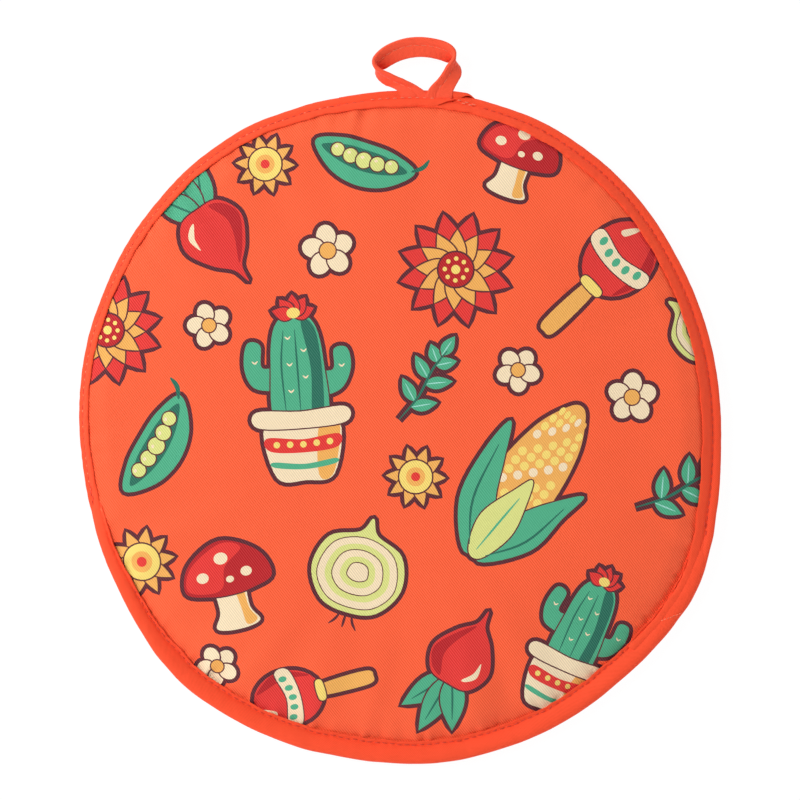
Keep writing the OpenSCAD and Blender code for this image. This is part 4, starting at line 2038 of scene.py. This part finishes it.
@dataclass
class Pouch:
    """The padded pouch: two panels, three bindings, their stitches and the loop."""

    finishes: Finishes
    levels: Levels = field(default_factory=Levels.from_frame)
    outline: Round = field(default_factory=lambda: Round(radius=152.5))

    def build(self) -> None:
        """Makes every piece in sewing order."""
        self.back_panel()
        self.front_panel()
        self.bindings()
        self.loop()

    def back_panel(self) -> None:
        """Makes the panel that lies on the table."""
        form = BackForm(self.outline, self.levels)
        panel = Panel("back", self.outline, form.belly, form.floor, FRONT_LAYOUT, mirrored=True,
                      swell_cap=0.25, bound_at=form.hem)
        padding = panel.wadding(self.finishes)
        keep_between(padding, form.floor, form.belly)
        dress(padding, "wadding", "back_wadding", body="pouch", fill=0.45)

        cloth = panel.cloth(form.belly, self.finishes)
        dress(cloth, "printed_cloth", "back_outer", body="pouch")

        lining = panel.lining(form.floor, self.finishes)
        dress(lining, "lining_cloth", "back_lining", body="pouch")

    def front_panel(self) -> None:
        """Makes the panel with the mouth, whose upper part lifts."""
        form = FrontForm(self.outline, self.levels)

        def plain_under(x: Array, y: Array) -> Array:
            """Height of the lining before the padding swells."""
            return form.plain_top(x, y) - form.thickness(x, y)

        panel = Panel("front", self.outline, form.plain_top, plain_under, FRONT_LAYOUT, mirrored=False,
                      bound_at=lambda a: form.edge_line(a)[0])
        padding = panel.wadding(self.finishes)
        swollen_top = HeightGrid(158, 2.6).fill(padding, True, lambda x, y: form.plain_top(x, y) - PAD_GAP)
        swollen_low = HeightGrid(158, 2.6).fill(padding, False, lambda x, y: plain_under(x, y) + PAD_GAP)

        def top(x: Array, y: Array) -> Array:
            """Height of the printed cloth, which follows the swollen padding away from the bindings.

            Args:
                x: place across.
                y: place up.

            Returns:
                The heights.
            """
            free = form.free_share(x, y)
            grown = swollen_top(x, y) + PAD_GAP
            return form.plain_top(x, y) * (1 - free) + grown * free + form.rumple(x, y)

        def under(x: Array, y: Array) -> Array:
            """Height of the front lining, which every pinch takes down with it.

            Args:
                x: place across.
                y: place up.

            Returns:
                The heights.
            """
            free = form.free_share(x, y)
            grown = swollen_low(x, y) - PAD_GAP
            lie = plain_under(x, y) * (1 - free) + np.maximum(grown, plain_under(x, y) - 0.6) * free
            return np.minimum(lie, top(x, y) - 0.8)

        keep_between(padding, top, under)
        dress(padding, "wadding", "front_wadding_lower", "front_wadding_flap", fill=0.6)
        bend_at_fold(padding)

        cloth = panel.cloth(top, self.finishes)
        dress(cloth, "printed_cloth", "front_outer_lower", "front_outer_flap")
        bend_at_fold(cloth)

        lining = panel.lining(under, self.finishes)
        dress(lining, "lining_cloth", "front_lining_lower", "front_lining_flap")
        bend_at_fold(lining)

    def rim_tape(self) -> FoldedTape:
        """The wide tape that closes the lower rim over both panels.

        Returns:
            The tape, ready to be made.
        """
        start, end = self.outline.mouth_left - 2.5, 360 + self.outline.mouth_right + 3.0

        def deep(a: Array) -> Array:
            """A little thicker where it covers the ends of the mouth's tapes."""
            thin = 0.42 * (1 - eased(a, start, start + 10)) + 0.35 * eased(a, end - 9, end)
            return 1.0 - thin + 0.12 * eased(a, end - 24, end - 10)

        return FoldedTape(
            name="rim_bias_tape", outline=self.outline, start=start, end=end,
            profile=((0, 0), (0.15, 1.2), (0.9, 2.5), (2.4, 3.3), (4.6, 3.55), (6.8, 3.35), (8.2, 2.95),
                     (8.9, 2.75), (9.7, 3.1), (10.3, 3.05), (10.5, 2.6), (10.2, 2.15), (8.6, 2.05)),
            stitch_d=RIM_STITCH, middle=even(self.levels.middle), width=RIM_EDGE.width,
            inset=RIM_EDGE.inset, lean=RIM_EDGE.lean, deep=deep, lean_low=False, seed=31,
            shift=lambda a, d: RIM_EDGE.lift(a) * eased(d, 2.0, 9.5),
        )

    def mouth_tape(self, front: bool) -> FoldedTape:
        """The tape round the mouth's edge of one panel.

        Args:
            front: whether it is the front panel's tape.

        Returns:
            The tape, ready to be made.
        """
        profile = ((0, 0), (0.1, 0.75), (0.7, 1.45), (1.8, 1.7), (2.9, 1.5), (3.7, 1.15), (4.2, 1.05),
                   (4.9, 1.3), (6.2, 1.6), (7.8, 1.6), (8.8, 1.35), (9.2, 1.0), (8.9, 0.75), (7.0, 0.7))
        right, left = self.outline.mouth_right, self.outline.mouth_left
        if front:
            def shift(a: Array, d: Array) -> Array:
                """The hem's lift, and the tape's dip under the rim tape at each end."""
                dip = 0.45 * (1 - self.outline.mouth_share(a)) + 1.3 * eased(a, left - 4, left + 3)
                return MOUTH_EDGE.hem_lift(a, d) - dip

            return FoldedTape(
                name="front_mouth_bias_tape", outline=self.outline, start=right - 24, end=left + 3,
                profile=profile, stitch_d=MOUTH_STITCH, middle=even(self.levels.mouth),
                width=MOUTH_EDGE.width, inset=MOUTH_EDGE.inset, lean=MOUTH_EDGE.lean, seed=3, shift=shift,
                groove=lambda a: through(a, ((-45, 0.8), (60, 0.8), (100, 0.5), (150, 0.2), (200, 0.3))),
                bead=lambda a: through(a, ((-45, 0), (85, 0.2), (105, 0.9), (150, 0.9), (175, 0.2),
                                           (200, 0))),
            )
        return FoldedTape(
            name="back_mouth_bias_tape", outline=self.outline, start=right - 4, end=left + 4, profile=profile,
            stitch_d=MOUTH_STITCH, middle=even(self.levels.middle - self.levels.parting),
            width=even(8.4), inset=even(0.8), lean=even(0.0), seed=11,
        )

    def bindings(self) -> None:
        """Makes the tapes with their stitches, tacks and joins."""
        right, left = self.outline.mouth_right, self.outline.mouth_left
        rim, front, back = self.rim_tape(), self.mouth_tape(True), self.mouth_tape(False)

        dress(rim.make(self.finishes.tape), "binding_tape", "rim_binding", body="pouch")
        sewn = self.sew_through(rim, "rim_stitch_rows", rim.stitch_angles(left + 16, 360 + right - 3))
        dress(sewn, "thread", "rim_stitching", body="pouch")

        tape = front.make(self.finishes.tape)
        dress(tape, "binding_tape", "front_mouth_binding")
        bend_at_fold(tape)
        angles = front.stitch_angles(right + 1, left - 1)
        sewn = self.sew_through(front, "front_mouth_stitch_rows", angles[(angles < 78.5) | (angles > 98)])
        dress(sewn, "thread", "front_mouth_stitching")
        bend_at_fold(sewn)

        # short bits of thread at the needle holes, drawn pale as a painted highlight of the thread catching
        # the light
        knot_highlights = front.stitch_angles(99, left - 2) + 0.68
        knot_highlights = knot_highlights[np.random.default_rng(7).uniform(0, 1, len(knot_highlights)) < 0.6]
        sewn = StitchRow(length=0.9, thick=0.55, dive=0.2).sew(
            "front_mouth_knots_painted_highlight", *front.frames(knot_highlights, front.stitch_d), self.finishes.pale_thread)
        dress(sewn, "pale_thread")
        bend_at_fold(sewn)

        dress(back.make(self.finishes.tape), "binding_tape", "back_mouth_binding", body="pouch")
        sewn = self.sew_through(back, "back_mouth_stitch_rows", back.stitch_angles(right + 2, left - 2))
        dress(sewn, "thread", "back_mouth_stitching", body="pouch")

        self.tacks(front)
        self.join_seam(rim)
        self.tape_end(front)

    def sew_through(self, tape: FoldedTape, name: str, angles: Array) -> bpy.types.Object:
        """Sews a row through both halves of a tape.

        Args:
            tape: the tape.
            name: the row's name.
            angles: where its stitches lie.

        Returns:
            The row, seen on the tape's upper and lower face.
        """
        upper, lower = tape.frames(angles, tape.stitch_d), tape.frames(angles, tape.stitch_d, lower=True)
        at, axes = np.vstack([upper[0], lower[0]]), np.vstack([upper[1], lower[1]])
        return StitchRow().sew(name, at, axes, self.finishes.thread)

    def tacks(self, front: FoldedTape) -> None:
        """Sews the mouth's two ends over and over.

        Args:
            front: the front mouth tape, which they hold.
        """
        right, left = self.outline.mouth_right, self.outline.mouth_left
        angles = np.array([left - 0.6, left - 2.2, left - 1.4, left - 3.0, right + 0.8, right + 2.2])
        depth = np.array([3.5, 3.6, 5.0, 5.1, 3.7, 5.1])
        at, axes = front.frames(angles, depth)
        sewn = StitchRow().sew("mouth_end_tacks", at, axes, self.finishes.thread)
        dress(sewn, "thread", "mouth_bartacks")
        bend_at_fold(sewn)

    def join_seam(self, rim: FoldedTape) -> None:
        """Sews the slanting seam that joins the rim tape's two ends.

        Args:
            rim: the rim tape.
        """
        share = (np.arange(10) + 0.5) / 10
        angles = 360 - 35.5 + 4.5 * share
        at, axes = rim.frames(angles, 8.8 - 7.9 * share)
        way, out = unit(np.gradient(at, axis=0)), axes[:, 2]
        turned_axes = np.stack([way, np.cross(out, way), out], axis=1)
        # its stitches are drawn pale, a painted highlight along the seam's thread
        row = StitchRow(length=1.1, thick=0.42, dive=0.2)
        sewn = row.sew("tape_join_seam", at, turned_axes, self.finishes.pale_thread)
        dress(sewn, "pale_thread", "binding_join_seam", body="pouch")

    def tape_end(self, front: FoldedTape) -> None:
        """Lays the mouth tape's folded end over its beginning, at the loop.

        Args:
            front: the front mouth tape, whose section it shares.
        """

        def inset(a: Array) -> Array:
            """Brings the end out over the tape below, and turns its outer corner in."""
            out = 0.55 * (1 - eased(a, 88, 103)) + 0.95 * eased(a, 79.3, 81.2) * (1 - eased(a, 81.5, 88))
            return 0.8 * (1 - eased(a, 79.3, 80.6)) - out

        lap = FoldedTape(
            name="mouth_tape_folded_end", outline=self.outline, start=79.5, end=103, profile=front.profile,
            stitch_d=front.stitch_d, middle=front.middle, width=lambda a: MOUTH_EDGE.width(a) + 0.25,
            slant=6.5, inset=inset, lean=MOUTH_EDGE.lean, seed=3, step=0.55, across=36, ripple=0.6,
            deep=lambda a: 1.0 + 0.28 * (1 - eased(a, 86, 103)) - 0.35 * (1 - eased(a, 79.3, 81.5)),
        )
        dress(lap.make(self.finishes.tape), "binding_tape", body="mouth_flap")

    def loop(self) -> None:
        """Makes the hanging loop with its stitches and tacks."""
        loop = HangingLoop()
        tape = loop.make(self.finishes.loop_tape)
        dress(tape, "binding_tape", "hanging_loop")
        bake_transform(tape)

        # the loop's stitches are drawn pale, a painted highlight of their thread
        row = StitchRow(length=2.7, thick=0.3, dive=0.15)
        sewn = row.sew("loop_stitch_row", *loop.stitch_frames(3.3, 0.6), self.finishes.pale_thread)
        dress(sewn, "pale_thread", "loop_stitching")
        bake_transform(sewn)

        front = self.mouth_tape(True)
        angles = np.array([79.6, 80.9, 82.2, 80.2, 81.4, *(86.9 + 1.3 * np.arange(9))])
        depth = np.array([3.6, 3.4, 3.2, 5.4, 5.2, 4.5, 4.4, 4.3, *[MOUTH_STITCH] * 6])
        at, axes = front.frames(angles, depth)
        at = at + axes[:, 2] * np.where(angles < 84, 0.5, 0.75)[:, None]
        # the foot tacks are drawn pale too, a painted highlight of their thread
        row = StitchRow(length=1.7, thick=0.5, dive=0.3)
        sewn = row.sew("loop_foot_tacks", at, axes, self.finishes.pale_thread)
        dress(sewn, "pale_thread", "loop_tacks", body="mouth_flap")


# ---------------------------------------------------------------- the studio


@dataclass(frozen=True)
class Studio:
    """White sweep, soft daylight lamps and the camera straight above, as in the photograph."""

    view_mm: float = 362.3
    distance: float = 1.6
    roll: float = 2.5
    up_shift: float = 12.2
    sensor: float = 36.0
    look_height: float = 0.010
    low_tent: float = 1.5
    high_tent: float = 0.2

    def floor(self) -> None:
        """Makes the white surface that the pouch lies on."""
        deselect_all()
        bpy.ops.mesh.primitive_plane_add(size=6.0, location=(0, 0, 0))
        ground = bpy.context.object
        ground.name = "white_table"
        material, tree = blank_material("white_paper_sweep")
        paper = node(tree, "BsdfDiffuse", {"Color": (0.86, 0.86, 0.86, 1)})
        glow = node(tree, "Emission", {"Color": (1, 1, 1, 1), "Strength": 1.03})
        path = node(tree, "LightPath")
        seen = node(tree, "Math", {0: path.outputs["Is Camera Ray"],
                                   1: path.outputs["Is Glossy Ray"]}, operation="MAXIMUM")
        share = node(tree, "Math", {0: seen.outputs[0], 1: 0.94}, operation="MULTIPLY")
        mix = node(tree, "MixShader", {0: share.outputs[0], 1: paper.outputs[0],
                                       2: glow.outputs[0]})
        node(tree, "OutputMaterial", {"Surface": mix.outputs[0]})
        ground.data.materials.append(material)

    def world(self) -> None:
        """Lights the room like a white tent, brightest low down, and shows white behind the table."""
        world = bpy.data.worlds.new("white_room")
        bpy.context.scene.world = world
        world.use_nodes = True
        tree = world.node_tree
        tree.nodes.clear()
        path = node(tree, "LightPath")
        way = node(tree, "TexCoord")
        height = node(tree, "SeparateXYZ", {0: way.outputs["Generated"]})
        tent = node(tree, "MapRange", {
            "Value": height.outputs["Z"], "From Min": 0.15, "From Max": 0.6, "To Min": self.low_tent,
            "To Max": self.high_tent})
        room = node(tree, "Background", {"Color": (1, 1, 1, 1), "Strength": tent.outputs[0]})
        seen = node(tree, "Background", {"Color": (1, 1, 1, 1), "Strength": 1.0})
        mix = node(tree, "MixShader", {0: path.outputs["Is Camera Ray"], 1: room.outputs[0],
                                       2: seen.outputs[0]})
        node(tree, "OutputWorld", {"Surface": mix.outputs[0]})

    def lamp(self, name: str, place: tuple[float, float, float], size: float, watts: float) -> None:
        """Hangs a square lamp that faces the pouch.

        Args:
            name: the lamp's name.
            place: where it hangs, in metres.
            size: its side, in metres.
            watts: its power.
        """
        deselect_all()
        bpy.ops.object.light_add(type="AREA", location=place)
        lamp = bpy.context.object
        lamp.name = name
        lamp.data.size = size
        lamp.data.energy = watts
        lamp.rotation_euler = (-Vector(place)).to_track_quat("-Z", "Y").to_euler()

    def camera(self) -> None:
        """Looks straight down with the small roll of the photograph."""
        roll = math.radians(self.roll)
        up = self.up_shift * MM
        place = (-math.sin(roll) * up, math.cos(roll) * up, self.distance + self.look_height)
        deselect_all()
        bpy.ops.object.camera_add(location=place, rotation=(0, 0, roll))
        camera = bpy.context.object
        camera.data.sensor_width = self.sensor
        camera.data.lens = self.sensor * self.distance / (self.view_mm * MM)
        camera.data.clip_end = 20
        bpy.context.scene.camera = camera

    def build(self) -> None:
        """Sets up the whole studio."""
        self.floor()
        self.world()
        self.lamp("key_lamp", (-1.5, 0.7, 1.7), 0.8, 38.5)
        self.lamp("fill_lamp", (0.1, -1.2, 1.5), 1.4, 7.0)
        self.camera()
        bpy.context.scene.view_settings.view_transform = "Standard"


def main() -> None:
    """Builds the studio and the pouch."""
    logging.basicConfig(level=logging.INFO, format="%(relativeCreated)6d ms %(name)s: %(message)s")
    Studio().build()
    Pouch(Finishes.build()).build()


if __name__ == "__main__":
    main()
